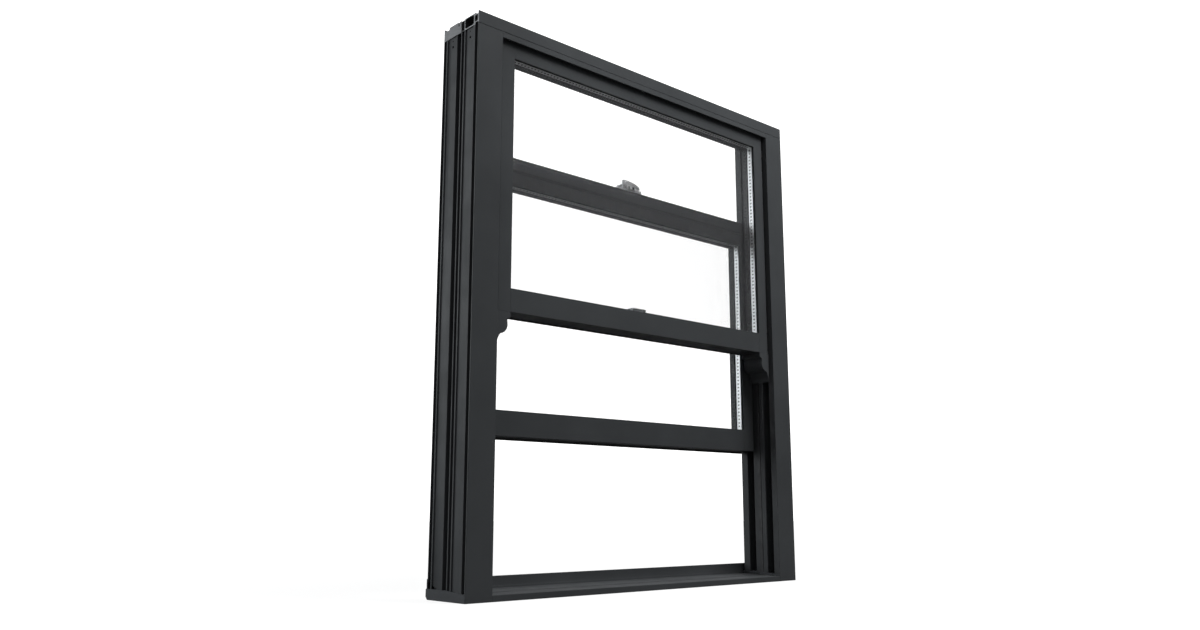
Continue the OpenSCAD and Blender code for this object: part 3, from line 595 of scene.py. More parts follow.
def solid_from_rings(name: str, rings: np.ndarray, wrap: bool = False) -> Object:
    """Closed solid from rings of points: station i is joined to station i + 1 by quads.

    Args:
        name: the object's name.
        rings: (stations, points, 3) array; every ring has the same number of points.
        wrap: joins the last station to the first, as for a loop round a pane.

    Returns:
        The object, at the origin, its faces outwards.
    """
    stations, around = rings.shape[:2]
    points = rings.reshape(-1, 3)
    rows = np.arange(stations if wrap else stations - 1)
    i, j = np.meshgrid(rows, np.arange(around), indexing="ij")
    after, beside = (i + 1) % stations, (j + 1) % around
    quads = np.stack([i * around + j, i * around + beside, after * around + beside,
                      after * around + j], axis=-1).reshape(-1, 4)
    first, last = np.arange(around)[::-1], np.arange(around) + (stations - 1) * around
    centre = points.mean(axis=0)
    if signed_volume(points - centre, quads) < 0:
        quads, first, last = quads[:, ::-1], first[::-1], last[::-1]
    faces = quads.tolist() + ([] if wrap else [first.tolist(), last.tolist()])
    mesh = bpy.data.meshes.new(name)
    mesh.from_pydata(points.tolist(), [], faces)
    mesh.update()
    piece = bpy.data.objects.new(name, mesh)
    bpy.context.scene.collection.objects.link(piece)
    return piece


def rounded_rectangle(width: float, height: float, radius: float, steps: int = 4) -> np.ndarray:
    """Rounded rectangle round the origin.

    Each corner is a quarter circle of the radius about a centre set in by it.

    Args:
        width: full width.
        height: full height.
        radius: corner radius.
        steps: segments in each corner.

    Returns:
        (points, 2) array, anticlockwise.
    """
    turn = np.linspace(0, np.pi / 2, steps + 1)
    starts = np.arange(4)[:, None] * np.pi / 2
    angle = starts + turn[None, :]
    sign_x = np.array([1, -1, -1, 1])[:, None]
    sign_y = np.array([1, 1, -1, -1])[:, None]
    x = sign_x * (width / 2 - radius) + radius * np.cos(angle)
    y = sign_y * (height / 2 - radius) + radius * np.sin(angle)
    return np.stack([x.ravel(), y.ravel()], axis=1)


def round_the_pane(name: str, section: np.ndarray, half_w: float, z0: float, z1: float) -> Object:
    """Carries a section round a rectangle in the plane of the glass, mitred at its corners.

    A point (out, depth) of the section stands at out beyond the rectangle on both its axes, so
    the four corner rings are half_w + out across and z -/+ out up.

    Args:
        name: the object's name.
        section: (points, 2) array of (distance out from the rectangle, depth).
        half_w: half the rectangle's width.
        z0: its foot.
        z1: its top.

    Returns:
        The closed loop.
    """
    out, deep = section[:, 0], section[:, 1]
    corners = np.array([(-1, -1), (1, -1), (1, 1), (-1, 1)])
    rings = np.empty((4, len(section), 3))
    rings[..., 0] = corners[:, :1] * (half_w + out)
    rings[..., 1] = deep
    rings[..., 2] = np.where(corners[:, 1:] < 0, z0 - out, z1 + out)
    return solid_from_rings(name, rings, wrap=True)


def run_across(name: str, section: np.ndarray, across: np.ndarray) -> Object:
    """Runs a section in depth and height along X.

    Args:
        name: the object's name.
        section: (points, 2) array of (depth, height).
        across: the stations' places along X.

    Returns:
        The closed solid.
    """
    rings = np.empty((len(across), len(section), 3))
    rings[..., 0] = across[:, None]
    rings[..., 1:] = section
    return solid_from_rings(name, rings)


def join(pieces: Sequence[Object], name: str) -> Object:
    """Puts several pieces' meshes into one, the first piece's object.

    Args:
        pieces: the pieces, all at the origin.
        name: the joined piece's name.

    Returns:
        The joined piece.
    """
    merged = bmesh.new()
    for piece in pieces:
        merged.from_mesh(piece.data)
    merged.to_mesh(pieces[0].data)
    merged.free()
    for piece in pieces[1:]:
        bpy.data.objects.remove(piece)
    pieces[0].name = name
    return pieces[0]


def smooth(piece: Object, angle: float = 35.0) -> None:
    """Shades faces smooth except across sharp corners.

    Args:
        piece: the piece to shade.
        angle: the least angle, in degrees, that counts as sharp.
    """
    mesh = piece.data
    mesh.polygons.foreach_set("use_smooth", np.ones(len(mesh.polygons), bool))
    mesh.set_sharp_from_angle(angle=math.radians(angle))


def softened_copy(node: str, width: float, segments: int = 2) -> Object:
    """Copy of a CAD part with its loose triangles merged and its arrises rounded.

    Args:
        node: the CAD node.
        width: the arris's width.
        segments: faces across the arris.

    Returns:
        The copy, which stands in for the node.
    """
    mesh = bpy.data.meshes.new(node + "_soft")
    work = bmesh.new()
    work.from_mesh(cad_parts[node].data)
    bmesh.ops.remove_doubles(work, verts=work.verts, dist=1e-6)
    bmesh.ops.dissolve_limit(work, angle_limit=math.radians(0.5), verts=work.verts,
                             edges=work.edges)
    work.to_mesh(mesh)
    work.free()
    piece = bpy.data.objects.new(node + "_soft", mesh)
    bpy.context.scene.collection.objects.link(piece)
    smooth(piece, 30.0)
    bevel = piece.modifiers.new("arris", "BEVEL")
    bevel.width = width
    bevel.segments = segments
    bevel.limit_method = "ANGLE"
    bevel.angle_limit = math.radians(30)
    bevel.use_clamp_overlap = False
    bevel.harden_normals = False
    bevel.miter_outer = "MITER_ARC"
    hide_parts(node)
    return piece


# ---- The window's pieces ----------------------------------------------------------------------


@dataclass
class Assembly:
    """A group of pieces that ride together."""

    finishes: Finishes
    body: Body

    def place(self, piece: Object, finish: str, slot: str, instead_of: Iterable[str] = ()) -> None:
        """Dresses a new piece, hangs it on its body and says which nodes it stands in for.

        Args:
            piece: the new piece.
            finish: its finish's name.
            slot: its material slot's name; not used.
            instead_of: the CAD nodes that it replaces.
        """
        self.finishes.dress(piece, finish)
        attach(piece, self.body.value)
        for node in instead_of:
            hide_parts(node)
        LOG.info("piece %s, %d faces", piece.name, len(piece.data.polygons))

    def dress_nodes(self, finish: str, nodes: Iterable[str]) -> None:
        """Gives carried-over CAD parts their finish.

        Args:
            finish: the finish's name.
            nodes: the CAD parts.
        """
        for node in nodes:
            self.finishes.dress(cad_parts[node], finish)
            LOG.info("dressed %s as %s", node, finish)

    def soften_nodes(self, finish: str, slot: str, nodes: Iterable[str],
                     width: float = 0.4 * MM, segments: int = 2) -> None:
        """Puts softened copies in the place of CAD parts."""
        for node in nodes:
            self.place(softened_copy(node, width, segments), finish, slot)


@dataclass
class CrossHeadScrews(Assembly):
    """Upright screws with domed heads and a cross recess, one on each centre.

    The recess's sizes are shares of the head's diameter, and its reach a share of the radius.
    """

    node: str
    centres: Sequence[Point]
    head_d: float = 6.0 * MM
    shank_d: float = 3.2 * MM
    dome: float = 0.5 * MM
    rim: float = 0.25 * MM
    arm_half: float = 0.13
    recess: float = 0.2
    recess_end: float = 0.62
    fade: float = 0.2
    around: int = 48
    rows: int = 22

    def heights(self, radius: np.ndarray, angle: np.ndarray) -> np.ndarray:
        """Height of the head's top: a shallow dome less a cross-shaped recess.

        The recess is deepest on either arm's centre line, has sloping walls beside it, and
        fades out before the rim.

        Args:
            radius: distances from the screw's axis.
            angle: angles about it.

        Returns:
            The heights above the rim.
        """
        full = self.head_d / 2
        x, y = radius * np.cos(angle), radius * np.sin(angle)
        arm = np.minimum(np.abs(x), np.abs(y)) / (self.arm_half * self.head_d)
        before_rim = np.clip((self.recess_end * full - radius) / (self.fade * full), 0, 1)
        within = np.clip(1.6 - 1.3 * arm, 0, 1) * before_rim
        return self.dome * (1 - (radius / full) ** 2) - self.recess * self.head_d * within

    def rings(self, centre: Point, length: float) -> np.ndarray:
        """Rings from the head's middle out to its rim, then down the cone and the shank.

        Args:
            centre: the middle of the head, at the rim's height.
            length: the screw's length below the rim.

        Returns:
            (rings, points, 3) array.
        """
        full, shank = self.head_d / 2, self.shank_d / 2
        angle = np.linspace(0, 2 * np.pi, self.around, endpoint=False)[None, :]
        radius = np.linspace(0.02, 1, self.rows)[:, None] * full
        top = self.heights(radius, angle)
        radius = np.broadcast_to(radius, top.shape)
        low = np.array([(full, -self.rim), (shank, shank - full - self.rim),
                        (shank, shank - length), (0.2 * shank, -length)])
        r = np.concatenate([radius, np.broadcast_to(low[:, :1], (len(low), self.around))])
        h = np.concatenate([top, np.broadcast_to(low[:, 1:], (len(low), self.around))])
        return np.stack([r * np.cos(angle), r * np.sin(angle), h], axis=-1) + np.array(centre)

    def build(self, length: float) -> None:
        """Builds the screws as one piece in place of the CAD's.

        Args:
            length: each screw's length below the rim.
        """
        made = [solid_from_rings(f"{self.node}_{k}", self.rings(c, length))
                for k, c in enumerate(self.centres)]
        piece = join(made, f"{self.node}_cross")
        smooth(piece)
        self.place(piece, "zinc_screw", "zinc_screw", [self.node])


@dataclass
class CamLever(Assembly):
    """Fastener lever: a fluted drum and spindle, the cam's finger, and a handle that droops.

    Heights are above the meeting rail's top, where the fastener stands. The finger's tip and the
    handle's roundness, taper, waist and flare are shares of their own length or size.
    """

    spindle_foot: float = 1.4 * MM
    spindle_r: float = 3.5 * MM
    drum_r: float = 8.5 * MM
    boss_r: float = 6.2 * MM
    cam_foot: float = 3.4 * MM
    cam_top: float = 7.6 * MM
    drum_top: float = 14.6 * MM
    boss_foot: float = 18.8 * MM
    finger_w: float = 8.0 * MM
    finger_reach: float = 30.5 * MM
    flute_d: float = 0.7 * MM
    core: float = 0.2 * MM
    ease: float = 0.5 * MM
    finger_edge: float = 0.8 * MM
    tip_start: float = 0.85
    tip_shrink: float = 0.35
    handle_w: float = 11.0 * MM
    handle_gap: float = 0.1 * MM
    handle_round: float = 0.28
    taper: float = 0.62
    waist: float = 0.18
    flare: float = 0.05
    droop: float = 9.5 * MM
    flutes: int = 14

    def build(self) -> None:
        """Builds the lever from the CAD lever's own box."""
        lo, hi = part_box("cam_lever")
        rail = lo.z - self.spindle_foot
        axis_y = (lo.y + hi.y) / 2
        axis_x = lo.x + self.finger_reach
        top = hi.z - rail
        pieces = (self.shaft(axis_x, axis_y, rail, top), self.finger(lo.x, axis_x, axis_y, rail),
                  self.handle(axis_x, hi.x, axis_y, rail, top))
        piece = join(pieces, "fastener_handle")
        smooth(piece, 40.0)
        self.place(piece, "satin_chrome", "satin_chrome", ["cam_lever"])

    def shaft(self, x: float, y: float, rail: float, top: float) -> Object:
        """Turns the spindle, drum and boss as one, the drum fluted.

        A flute pares the drum's radius by a little wherever a cosine round it is high.

        Args:
            x: the axis's place across the window.
            y: its depth.
            rail: height of the meeting rail's top.
            top: the lever's top, above the rail.

        Returns:
            The closed solid.
        """
        ease = self.ease
        line = np.array([
            (self.core, self.spindle_foot), (self.spindle_r, self.spindle_foot),
            (self.spindle_r, self.cam_foot), (self.drum_r - ease, self.cam_foot),
            (self.drum_r, self.cam_foot + ease), (self.drum_r, self.drum_top - ease),
            (self.drum_r - ease, self.drum_top), (self.spindle_r, self.drum_top),
            (self.spindle_r, self.boss_foot), (self.boss_r - ease, self.boss_foot),
            (self.boss_r, self.boss_foot + ease), (self.boss_r, top - 2.8 * ease),
            (self.boss_r - ease, top - 1.2 * ease), (self.boss_r - 3.2 * ease, top - 0.3 * ease),
            (self.core, top)])
        angle = np.linspace(0, 2 * np.pi, self.flutes * 8, endpoint=False)
        radius = np.repeat(line[:, :1], len(angle), axis=1)
        drum = (line[:, 0] > self.drum_r - ease / 2)[:, None]
        flute = self.flute_d * np.clip(np.cos(self.flutes * angle) - 0.2, 0, 1)
        radius = radius - np.where(drum, flute, 0)
        rings = np.stack([x + radius * np.cos(angle), y + radius * np.sin(angle),
                          rail + np.repeat(line[:, 1:], len(angle), axis=1)], axis=-1)
        return solid_from_rings("shaft", rings)

    def finger(self, tip: float, x: float, y: float, rail: float) -> Object:
        """Runs a rounded bar from the spindle out to the finger's tip.

        The bar shrinks with the square of the way past tip_start, which rounds the tip.

        Args:
            tip: the tip's place across the window.
            x: the axis's place across the window.
            y: its depth.
            rail: height of the meeting rail's top.

        Returns:
            The closed solid.
        """
        section = rounded_rectangle(self.finger_w, self.cam_top - self.cam_foot, self.finger_edge)
        t = np.linspace(0, 1, 15)[:, None]
        past = np.clip((t - self.tip_start) / (1 - self.tip_start), 0, 1)
        size = 1 - self.tip_shrink * past ** 2
        rings = np.empty((len(t), len(section), 3))
        rings[..., 0] = x + (tip - x) * t
        rings[..., 1] = y + section[:, 0] * size
        rings[..., 2] = rail + (self.cam_foot + self.cam_top) / 2 + section[:, 1] * size ** 0.5
        return solid_from_rings("finger", rings)

    def handle(self, x: float, tip: float, y: float, rail: float, top: float) -> Object:
        """Lofts the handle along a level line that droops with the fourth power of the way out.

        Its height tapers, its width narrows at the waist, and both close in a rounded end.

        Args:
            x: the axis's place across the window, where the handle starts.
            tip: its end's place across the window.
            y: the axis's depth.
            rail: height of the meeting rail's top.
            top: the lever's top, above the rail.

        Returns:
            The closed solid.
        """
        section = rounded_rectangle(1.0, 1.0, self.handle_round, 5)
        t = np.linspace(0, 1, 40)[:, None]
        close = (1 - np.abs(2 * t - 1) ** 12) ** 0.4 + 0.02
        close = np.where(t < 0.5, np.maximum(close, 0.6), close)
        tall = top - self.boss_foot
        thick = (tall - 2 * self.handle_gap) * (1 - self.taper * t ** 1.5)
        wide = self.handle_w * (1 - self.waist * np.sin(np.pi * t) + self.flare * t)
        centre = rail + self.boss_foot + self.handle_gap + tall / 2 - self.droop * t ** 4
        rings = np.empty((len(t), len(section), 3))
        rings[..., 0] = x + (tip - x) * t
        rings[..., 1] = y + section[:, 0] * wide * close
        rings[..., 2] = centre + section[:, 1] * thick * close
        rings[..., 2] = np.minimum(rings[..., 2], rail + top)
        return solid_from_rings("handle", rings)


def soft_block(name: str, low: Point, high: Point, edge: float) -> Object:
    """A block with rounded corners and eased top and bottom edges.

    Args:
        name: the mesh's name.
        low: its lowest corner.
        high: its highest corner.
        edge: the corner radius, and how far the level edges are eased.

    Returns:
        The block as a closed solid.
    """
    low_a, high_a = np.array(low), np.array(high)
    size, middle = high_a - low_a, (low_a + high_a) / 2
    turn = np.linspace(0, np.pi / 2, 4)
    inset = edge * np.concatenate([1 - np.sin(turn), 1 - np.cos(turn)])
    drop = edge * np.concatenate([1 - np.cos(turn), 1 - np.sin(turn)])
    height = np.concatenate([low_a[2] + drop[:4], high_a[2] - drop[4:]])
    section = rounded_rectangle(size[0], size[1], edge, 4)
    scale = 1 - 2 * inset[:, None, None] / size[None, None, :2]
    rings = np.empty((len(height), len(section), 3))
    rings[..., :2] = middle[:2] + section[None] * scale
    rings[..., 2] = height[:, None]
    return solid_from_rings(name, rings)


@dataclass
class FastenerBase(Assembly):
    """Fastener base: a plate with a foot at each end and an open-fronted housing with ribs.

    The ribs hang from the bridge and stop above the path of the cam's finger. A dark nylon
    sheet just behind them is painted shade, so the slots between the ribs read as shadowed.
    """

    edge: float = 0.7 * MM
    plate_h: float = 3.0 * MM
    left_foot_h: float = 6.5 * MM
    right_foot_h: float = 9.4 * MM
    wall: float = 3.0 * MM
    rib_drop: float = 7.0 * MM
    rib_near: float = 0.3 * MM
    rib_far: float = 2.2 * MM
    # how far in from the front the dark sheet of painted shade behind the ribs stands
    shade_sheet_near: float = 2.4 * MM
    shade_sheet_far: float = 3.2 * MM
    inner: float = 22 * MM
    pad_w: float = 17 * MM
    left_foot_d: float = 10 * MM
    foot_edge: float = 1.2 * MM
    ribs: Sequence[tuple[float, float]] = ((-22 * MM, -20 * MM), (-16.5 * MM, -12.5 * MM),
                                           (-9.5 * MM, -2 * MM), (2 * MM, 11 * MM))

    def build(self) -> None:
        """Builds the base in place of the CAD's, from the CAD piece's own box."""
        lo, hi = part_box("fastener_base")
        near, far, foot, half = lo.y, hi.y, lo.z, hi.x
        inner, wall, bridge = self.inner, self.wall, hi.z - self.wall
        plate = foot + self.plate_h
        blocks = [
            ((-half, near, foot), (half, far, plate - 0.4 * MM), self.edge),
            ((-half, near, foot), (self.pad_w - half, far, plate - 0.1 * MM), self.edge),
            ((1 * MM - half, far - self.left_foot_d, foot), (-inner, far, foot + self.left_foot_h),
             self.foot_edge),
            ((inner - wall, near, foot), (half, far, foot + self.right_foot_h), self.foot_edge),
            ((-inner, far - wall, foot), (inner, far, hi.z), self.edge),
            ((inner - wall, near, foot), (inner, far, hi.z), self.edge),
            ((-inner, near, bridge), (inner, far, hi.z), self.edge),
        ]
        blocks += [((left, near + self.rib_near, bridge - self.rib_drop),
                    (right, near + self.rib_far, hi.z - 0.5 * MM), 0.4 * MM)
                   for left, right in self.ribs]
        made = [soft_block(f"fastener_block_{k}", a, b, e) for k, (a, b, e) in enumerate(blocks)]
        piece = join(made, "fastener_housing")
        smooth(piece, 40.0)
        self.place(piece, "satin_chrome", "satin_chrome", ["fastener_base"])
        # painted shade: a dark sheet just behind the ribs, so that the slots read as shadowed
        shade_sheet = soft_block(
            "fastener_shade_sheet",
            (1 * MM - inner, near + self.shade_sheet_near, bridge - self.rib_drop + self.rib_near),
            (inner - wall, near + self.shade_sheet_far, bridge), 0.15 * MM)
        self.place(shade_sheet, "nylon", "nylon")


@dataclass
class FrameParts(Assembly):
    """Head, jambs and sill: coated extrusions, their thermal breaks, end plates and balances."""

    arris: float = 0.45 * MM

    def build(self) -> None:
        """Softens the extrusions and dresses what they hold."""
        coat = "anthracite_coat"
        self.soften_nodes("anthracite_coat_cut", coat, ("head_outer", "head_inner", "head_trim"),
                          self.arris)
        self.soften_nodes(coat, coat, ("jamb_left_outer", "jamb_left_inner", "jamb_right_outer",
                                       "jamb_right_inner", "sill_outer", "sill_inner"), self.arris)
        self.soften_nodes("end_plate", "end_plate", ("sill_end_left", "sill_end_right"), 0.3 * MM)
        self.soften_nodes("mill_plate", "mill_plate", ("head_caps",), 0.2 * MM)
        self.dress_nodes("polyamide", ("head_break", "jamb_left_break", "jamb_right_break",
                                       "sill_break"))
        self.soften_nodes("balance_tube", "balance_tube",
                          ("upper_balance_tubes", "lower_balance_tubes"), 0.2 * MM)
        self.soften_nodes("rubber", "rubber", ("head_buffers",), 0.8 * MM, 3)
        self.dress_nodes("zinc_screw", ("tube_screws",))


@dataclass
class SashParts(Assembly):
    """One sash: rails, stiles, beads, the sealed unit with its gaskets and spacer, and its gear."""

    sash: Sash
    members: Sequence[str] = ()
    beads: Sequence[str] = ()
    arris: float = 0.45 * MM
    spacer_h: float = 6.5 * MM
    spacer_edge: float = 0.7 * MM
    gasket_h: float = 9.5 * MM
    strip_w: float = 4.7 * MM
    strip_t: float = 1.4 * MM
    strip_edge: float = 0.3 * MM
    strip_step: float = 3 * MM
    strip_pitch: float = 42 * MM
    bracket_h: float = 5 * MM
    bracket_d: float = 12 * MM
    bracket_edge: float = 1.2 * MM
    pile_reach: float = 4.1 * MM
    pile_start: float = 4.2 * MM
    pile_step: float = 0.7 * MM
    pile_short: float = 1.0 * MM
    seed: int = 7

    def part(self, name: str) -> str:
        """Full name of one of this sash's CAD parts."""
        return f"{self.sash.value}_{name}"

    def build(self) -> None:
        """Builds the sash's looks, from the aluminium inwards to the glass."""
        coat = "anthracite_coat"
        self.soften_nodes(coat, coat, [*self.members, *self.beads], self.arris)
        self.dress_nodes("clear_glass", (self.part("pane_outer"), self.part("pane_inner")))
        self.dress_nodes("edge_seal", (self.part("edge_seal"),))
        self.spacer()
        self.gasket(self.part("gasket_outer"))
        self.gasket(self.part("gasket_inner"))
        self.soften_nodes("nylon", "nylon", (self.part("guides"),), 0.6 * MM, 3)
        self.rods()
        self.piles()

    def spacer(self) -> None:
        """Carries a rounded bar round the unit in place of the CAD's square one."""
        node = self.part("spacer")
        piece = self.loop(node, f"{node}_bar", self.spacer_h, self.spacer_edge, 4)
        finish = "spacer_bar" if self.sash is Sash.UPPER else "spacer_bar_lower"
        self.place(piece, finish, "spacer_bar", [node])

    def gasket(self, node: str) -> None:
        """Carries a soft-edged lip round the glass in place of the CAD's square strip.

        Args:
            node: the CAD part.
        """
        lo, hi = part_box(node)
        piece = self.loop(node, f"{node}_lip", self.gasket_h, 0.48 * (hi.y - lo.y), 5)
        self.place(piece, "gasket", "gasket", [node])

    def loop(self, node: str, name: str, height: float, radius: float, steps: int) -> Object:
        """Carries a rounded rectangle, as deep as the CAD part, round inside the part's box.

        Args:
            node: the CAD part.
            name: the new piece's name.
            height: the section's height in the plane of the glass.
            radius: its corner radius.
            steps: segments in each corner.

        Returns:
            The closed loop, shaded smooth.
        """
        lo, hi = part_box(node)
        bar = rounded_rectangle(height, hi.y - lo.y, radius, steps)
        section = np.stack([bar[:, 0] - height / 2, bar[:, 1] + (lo.y + hi.y) / 2], axis=1)
        piece = round_the_pane(name, section, hi.x, lo.z, hi.z)
        smooth(piece)
        return piece

    def rods(self) -> None:
        """Twisted steel strips, each on a foot bracket, in place of the CAD's plain rods.

        A strip's section turns steadily with height: one turn in every pitch.
        """
        node = self.part("balance_rods")
        lo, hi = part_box(node)
        rod_x, rod_y, stile_x = self.rod_places(node)
        foot = lo.z + self.bracket_h
        height = np.arange(foot, hi.z, self.strip_step)
        strip = rounded_rectangle(self.strip_w, self.strip_t, self.strip_edge, 2)
        plate = rounded_rectangle(self.bracket_d, foot - lo.z, self.bracket_edge)
        plate = plate + np.array([rod_y, (lo.z + foot) / 2])
        turn = 2 * np.pi * height[:, None] / self.strip_pitch
        x, y = strip[:, 0], strip[:, 1]
        pieces = []
        for side in (-1, 1):
            rings = np.empty((len(height), len(strip), 3))
            rings[..., 0] = side * rod_x + x * np.cos(turn) - y * np.sin(turn)
            rings[..., 1] = rod_y + x * np.sin(turn) + y * np.cos(turn)
            rings[..., 2] = height[:, None]
            pieces.append(solid_from_rings(f"{node}_{side}", rings))
        for side in (-1, 1):
            across = side * np.linspace(stile_x, hi.x, 4)
            pieces.append(run_across(f"{node}_bracket_{side}", plate, across))
        piece = join(pieces, f"{node}_twisted")
        smooth(piece)
        self.place(piece, "balance_rod", "balance_rod", [node])
        LOG.info("%s stand at %.4f across", node, rod_x)

    def rod_places(self, node: str) -> tuple[float, float, float]:
        """Finds a balance rod and its bracket in the CAD part's own points.

        Args:
            node: the CAD part, whose highest points are the rods' tops.

        Returns:
            How far from the middle and how deep the right-hand rod stands, and how far from
            the middle its bracket starts.
        """
        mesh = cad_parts[node].data
        points = np.empty(len(mesh.vertices) * 3, np.float32)
        mesh.vertices.foreach_get("co", points)
        points = points.reshape(-1, 3)
        right = points[points[:, 0] > 0]
        top = right[right[:, 2] > points[:, 2].max() - 1 * MM]
        middle = (top.min(axis=0) + top.max(axis=0)) / 2
        return float(middle[0]), float(middle[1]), float(right[:, 0].min())

    def piles(self) -> None:
        """Brushes on both stiles: a ragged edge of fibres on a narrow woven foot.

        The brush's reach at a height is its full reach less a small random shortfall, drawn
        from a seeded generator.
        """
        node = self.part("piles")
        lo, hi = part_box(node)
        rng = np.random.default_rng(self.seed)
        height = np.arange(lo.z, hi.z, self.pile_step)
        short = rng.uniform(0, self.pile_short, len(height))
        deep = hi.y - lo.y
        shape = np.array([(0, 0.0), (0, 1.0), (0.18, 1.0), (0.26, 0.72), (0.7, 0.66), (1, 0.58),
                          (1, 0.42), (0.7, 0.34), (0.26, 0.28), (0.18, 0.0)])
        pair = []
        for side in (-1, 1):
            rings = np.empty((len(height), len(shape), 3))
            span = self.pile_reach - short[:, None] * (shape[:, 0] > 0.5)
            rings[..., 0] = side * (hi.x - self.pile_start + shape[:, 0] * span)
            rings[..., 1] = lo.y + shape[:, 1] * deep
            rings[..., 2] = height[:, None]
            pair.append(solid_from_rings(f"{node}_{side}", rings))
        piece = join(pair, f"{node}_brush")
        self.place(piece, "pile", "pile", [node])


@dataclass
class Studio:
    """Pale floor, soft lights and the camera.

    A look is direct where a ray's depth, less its passes through glass, is below a limit: the
    backdrop counts one step more than the floor does, so each has its own.
    """

    stand: Point = (-1.7149, -1.7645, 0.1772)
    turn_deg: float = 42.354
    tilt_deg: float = 10.914
    lens_mm: float = 30.576
    backdrop: float = 1.5
    backdrop_direct: float = 1.5
    floor_direct: float = 0.5
    floor_half: float = 14.0
    floor_z: float = -0.4 * MM
    sky_range: tuple[float, float, float, float] = (-0.1, 0.9, 0.10, 0.38)

    def build(self) -> None:
        """Builds the studio round the window."""
        self.floor()
        self.sky()
        self.soft_box("key", (-3.2, 2.4, 1.5), (0.0, 0.0, 0.6), 2.8, 66.0,
                      tint=(0.93, 0.975, 1.0))
        self.soft_box("front", (0.8, -1.4, 3.0), (0.0, 0.0, 0.9), 1.7, 135.0, False)
        self.soft_box("left", (-3.4, -0.6, 2.0), (0.0, 0.0, 0.7), 1.8, 5.0)
        self.camera()

    def floor(self) -> None:
        """Lays a wide pale floor just under the window."""
        half, z = self.floor_half, self.floor_z
        mesh = bpy.data.meshes.new("floor")
        mesh.from_pydata([(-half, -half, z), (half, -half, z), (half, half, z), (-half, half, z)],
                         [], [(0, 1, 2, 3)])
        piece = bpy.data.objects.new("floor", mesh)
        bpy.context.scene.collection.objects.link(piece)
        t = Tree("floor_paint")
        soft = t.remap(t.noise(1.5, 4.0), 0.3, 0.7, 0.0, 1.0)
        paint = t.finish(Base_Color=t.mix(soft, (0.10, 0.10, 0.10), (0.12, 0.12, 0.12)),
                         Roughness=0.8, Normal=t.bump(t.noise(240.0, 3.0), 0.05, 0.0005))
        self.show_bright(t)
        piece.data.materials.append(paint)

    def show_bright(self, t: Tree) -> None:
        """Adds a glow that only direct looks see, so the floor is pale without lighting undersides.

        The glow is full white far out, where the floor meets the white behind it.

        Args:
            t: the floor paint's node tree.
        """
        out = next(n for n in t.nodes if n.type == "OUTPUT_MATERIAL")
        glow, add = t.add("ShaderNodeEmission"), t.add("ShaderNodeAddShader")
        flat = t.add("ShaderNodeVectorMath", operation="LENGTH")
        t.links.new(t.place, flat.inputs[0])
        far = t.remap(flat.outputs["Value"], 0.8, 5.0, 0.0, 1.0)
        path = t.add("ShaderNodeLightPath")
        seen = t.calc("LESS_THAN", t.calc("SUBTRACT", path.outputs["Ray Depth"],
                                          path.outputs["Transmission Depth"]),
                      self.floor_direct)
        t.feed(glow, Color=(1.0, 1.0, 1.0, 1.0),
               Strength=t.calc("MULTIPLY", seen, t.remap(far, 0.0, 1.0, 0.90, 1.0)))
        t.links.new(t.shader.outputs[0], add.inputs[0])
        t.links.new(glow.outputs[0], add.inputs[1])
        t.links.new(add.outputs[0], out.inputs["Surface"])

    def sky(self) -> None:
        """Lights everything evenly and shows white behind the window and through its glass."""
        world = bpy.data.worlds.new("studio")
        world.use_nodes = True
        bpy.context.scene.world = world
        nodes, links = world.node_tree.nodes, world.node_tree.links
        nodes.clear()
        kinds = ("OutputWorld", "Background", "Background", "TexCoord", "SeparateXYZ", "MapRange",
                 "LightPath", "MixShader", "Math", "Math")
        (out, seen, light, place, split, rise, path, mix, turned_back,
         direct) = (nodes.new(f"ShaderNode{kind}") for kind in kinds)
        seen.inputs["Color"].default_value = (1.0, 1.0, 1.0, 1.0)
        seen.inputs["Strength"].default_value = self.backdrop
        light.inputs["Color"].default_value = (0.93, 0.96, 1.0, 1.0)
        for name, number in zip(("From Min", "From Max", "To Min", "To Max"), self.sky_range):
            rise.inputs[name].default_value = number
        turned_back.operation, direct.operation = "SUBTRACT", "LESS_THAN"
        direct.inputs[1].default_value = self.backdrop_direct
        for source, target in (
                (place.outputs["Generated"], split.inputs[0]),
                (split.outputs["Z"], rise.inputs["Value"]),
                (rise.outputs["Result"], light.inputs["Strength"]),
                (path.outputs["Ray Depth"], turned_back.inputs[0]),
                (path.outputs["Transmission Depth"], turned_back.inputs[1]),
                (turned_back.outputs[0], direct.inputs[0]), (direct.outputs[0], mix.inputs[0]),
                (light.outputs[0], mix.inputs[1]), (seen.outputs[0], mix.inputs[2]),
                (mix.outputs[0], out.inputs[0])):
            links.new(source, target)

    def soft_box(self, name: str, stand: Point, aim: Point, size: float, watts: float,
                 mirrored: bool = True, tint: Colour = (1.0, 1.0, 1.0)) -> None:
        """Hangs a square soft light that looks at a point.

        Args:
            name: the light's name.
            stand: where it hangs.
            aim: the point it looks at.
            size: its side.
            watts: its power.
            mirrored: whether glass and metal mirror it.
            tint: its colour.
        """
        data = bpy.data.lights.new(name, "AREA")
        data.size = size
        data.energy = watts
        data.color = tint
        lamp = bpy.data.objects.new(name, data)
        bpy.context.scene.collection.objects.link(lamp)
        lamp.location = stand
        lamp.visible_glossy = mirrored
        away = Vector(stand) - Vector(aim)
        lamp.rotation_euler = away.to_track_quat("Z", "Y").to_euler()

    def camera(self) -> None:
        """Stands the camera low in front of the window's left-hand side, looking slightly up."""
        data = bpy.data.cameras.new("camera")
        data.sensor_fit = "HORIZONTAL"
        data.sensor_width = 36.0
        data.lens = self.lens_mm
        data.clip_end = 60.0
        camera = bpy.data.objects.new("camera", data)
        bpy.context.scene.collection.objects.link(camera)
        camera.location = self.stand
        camera.rotation_euler = (math.radians(90 + self.tilt_deg), 0.0,
                                 math.radians(-self.turn_deg))
        bpy.context.scene.camera = camera
        bpy.context.scene.view_settings.view_transform = "Standard"


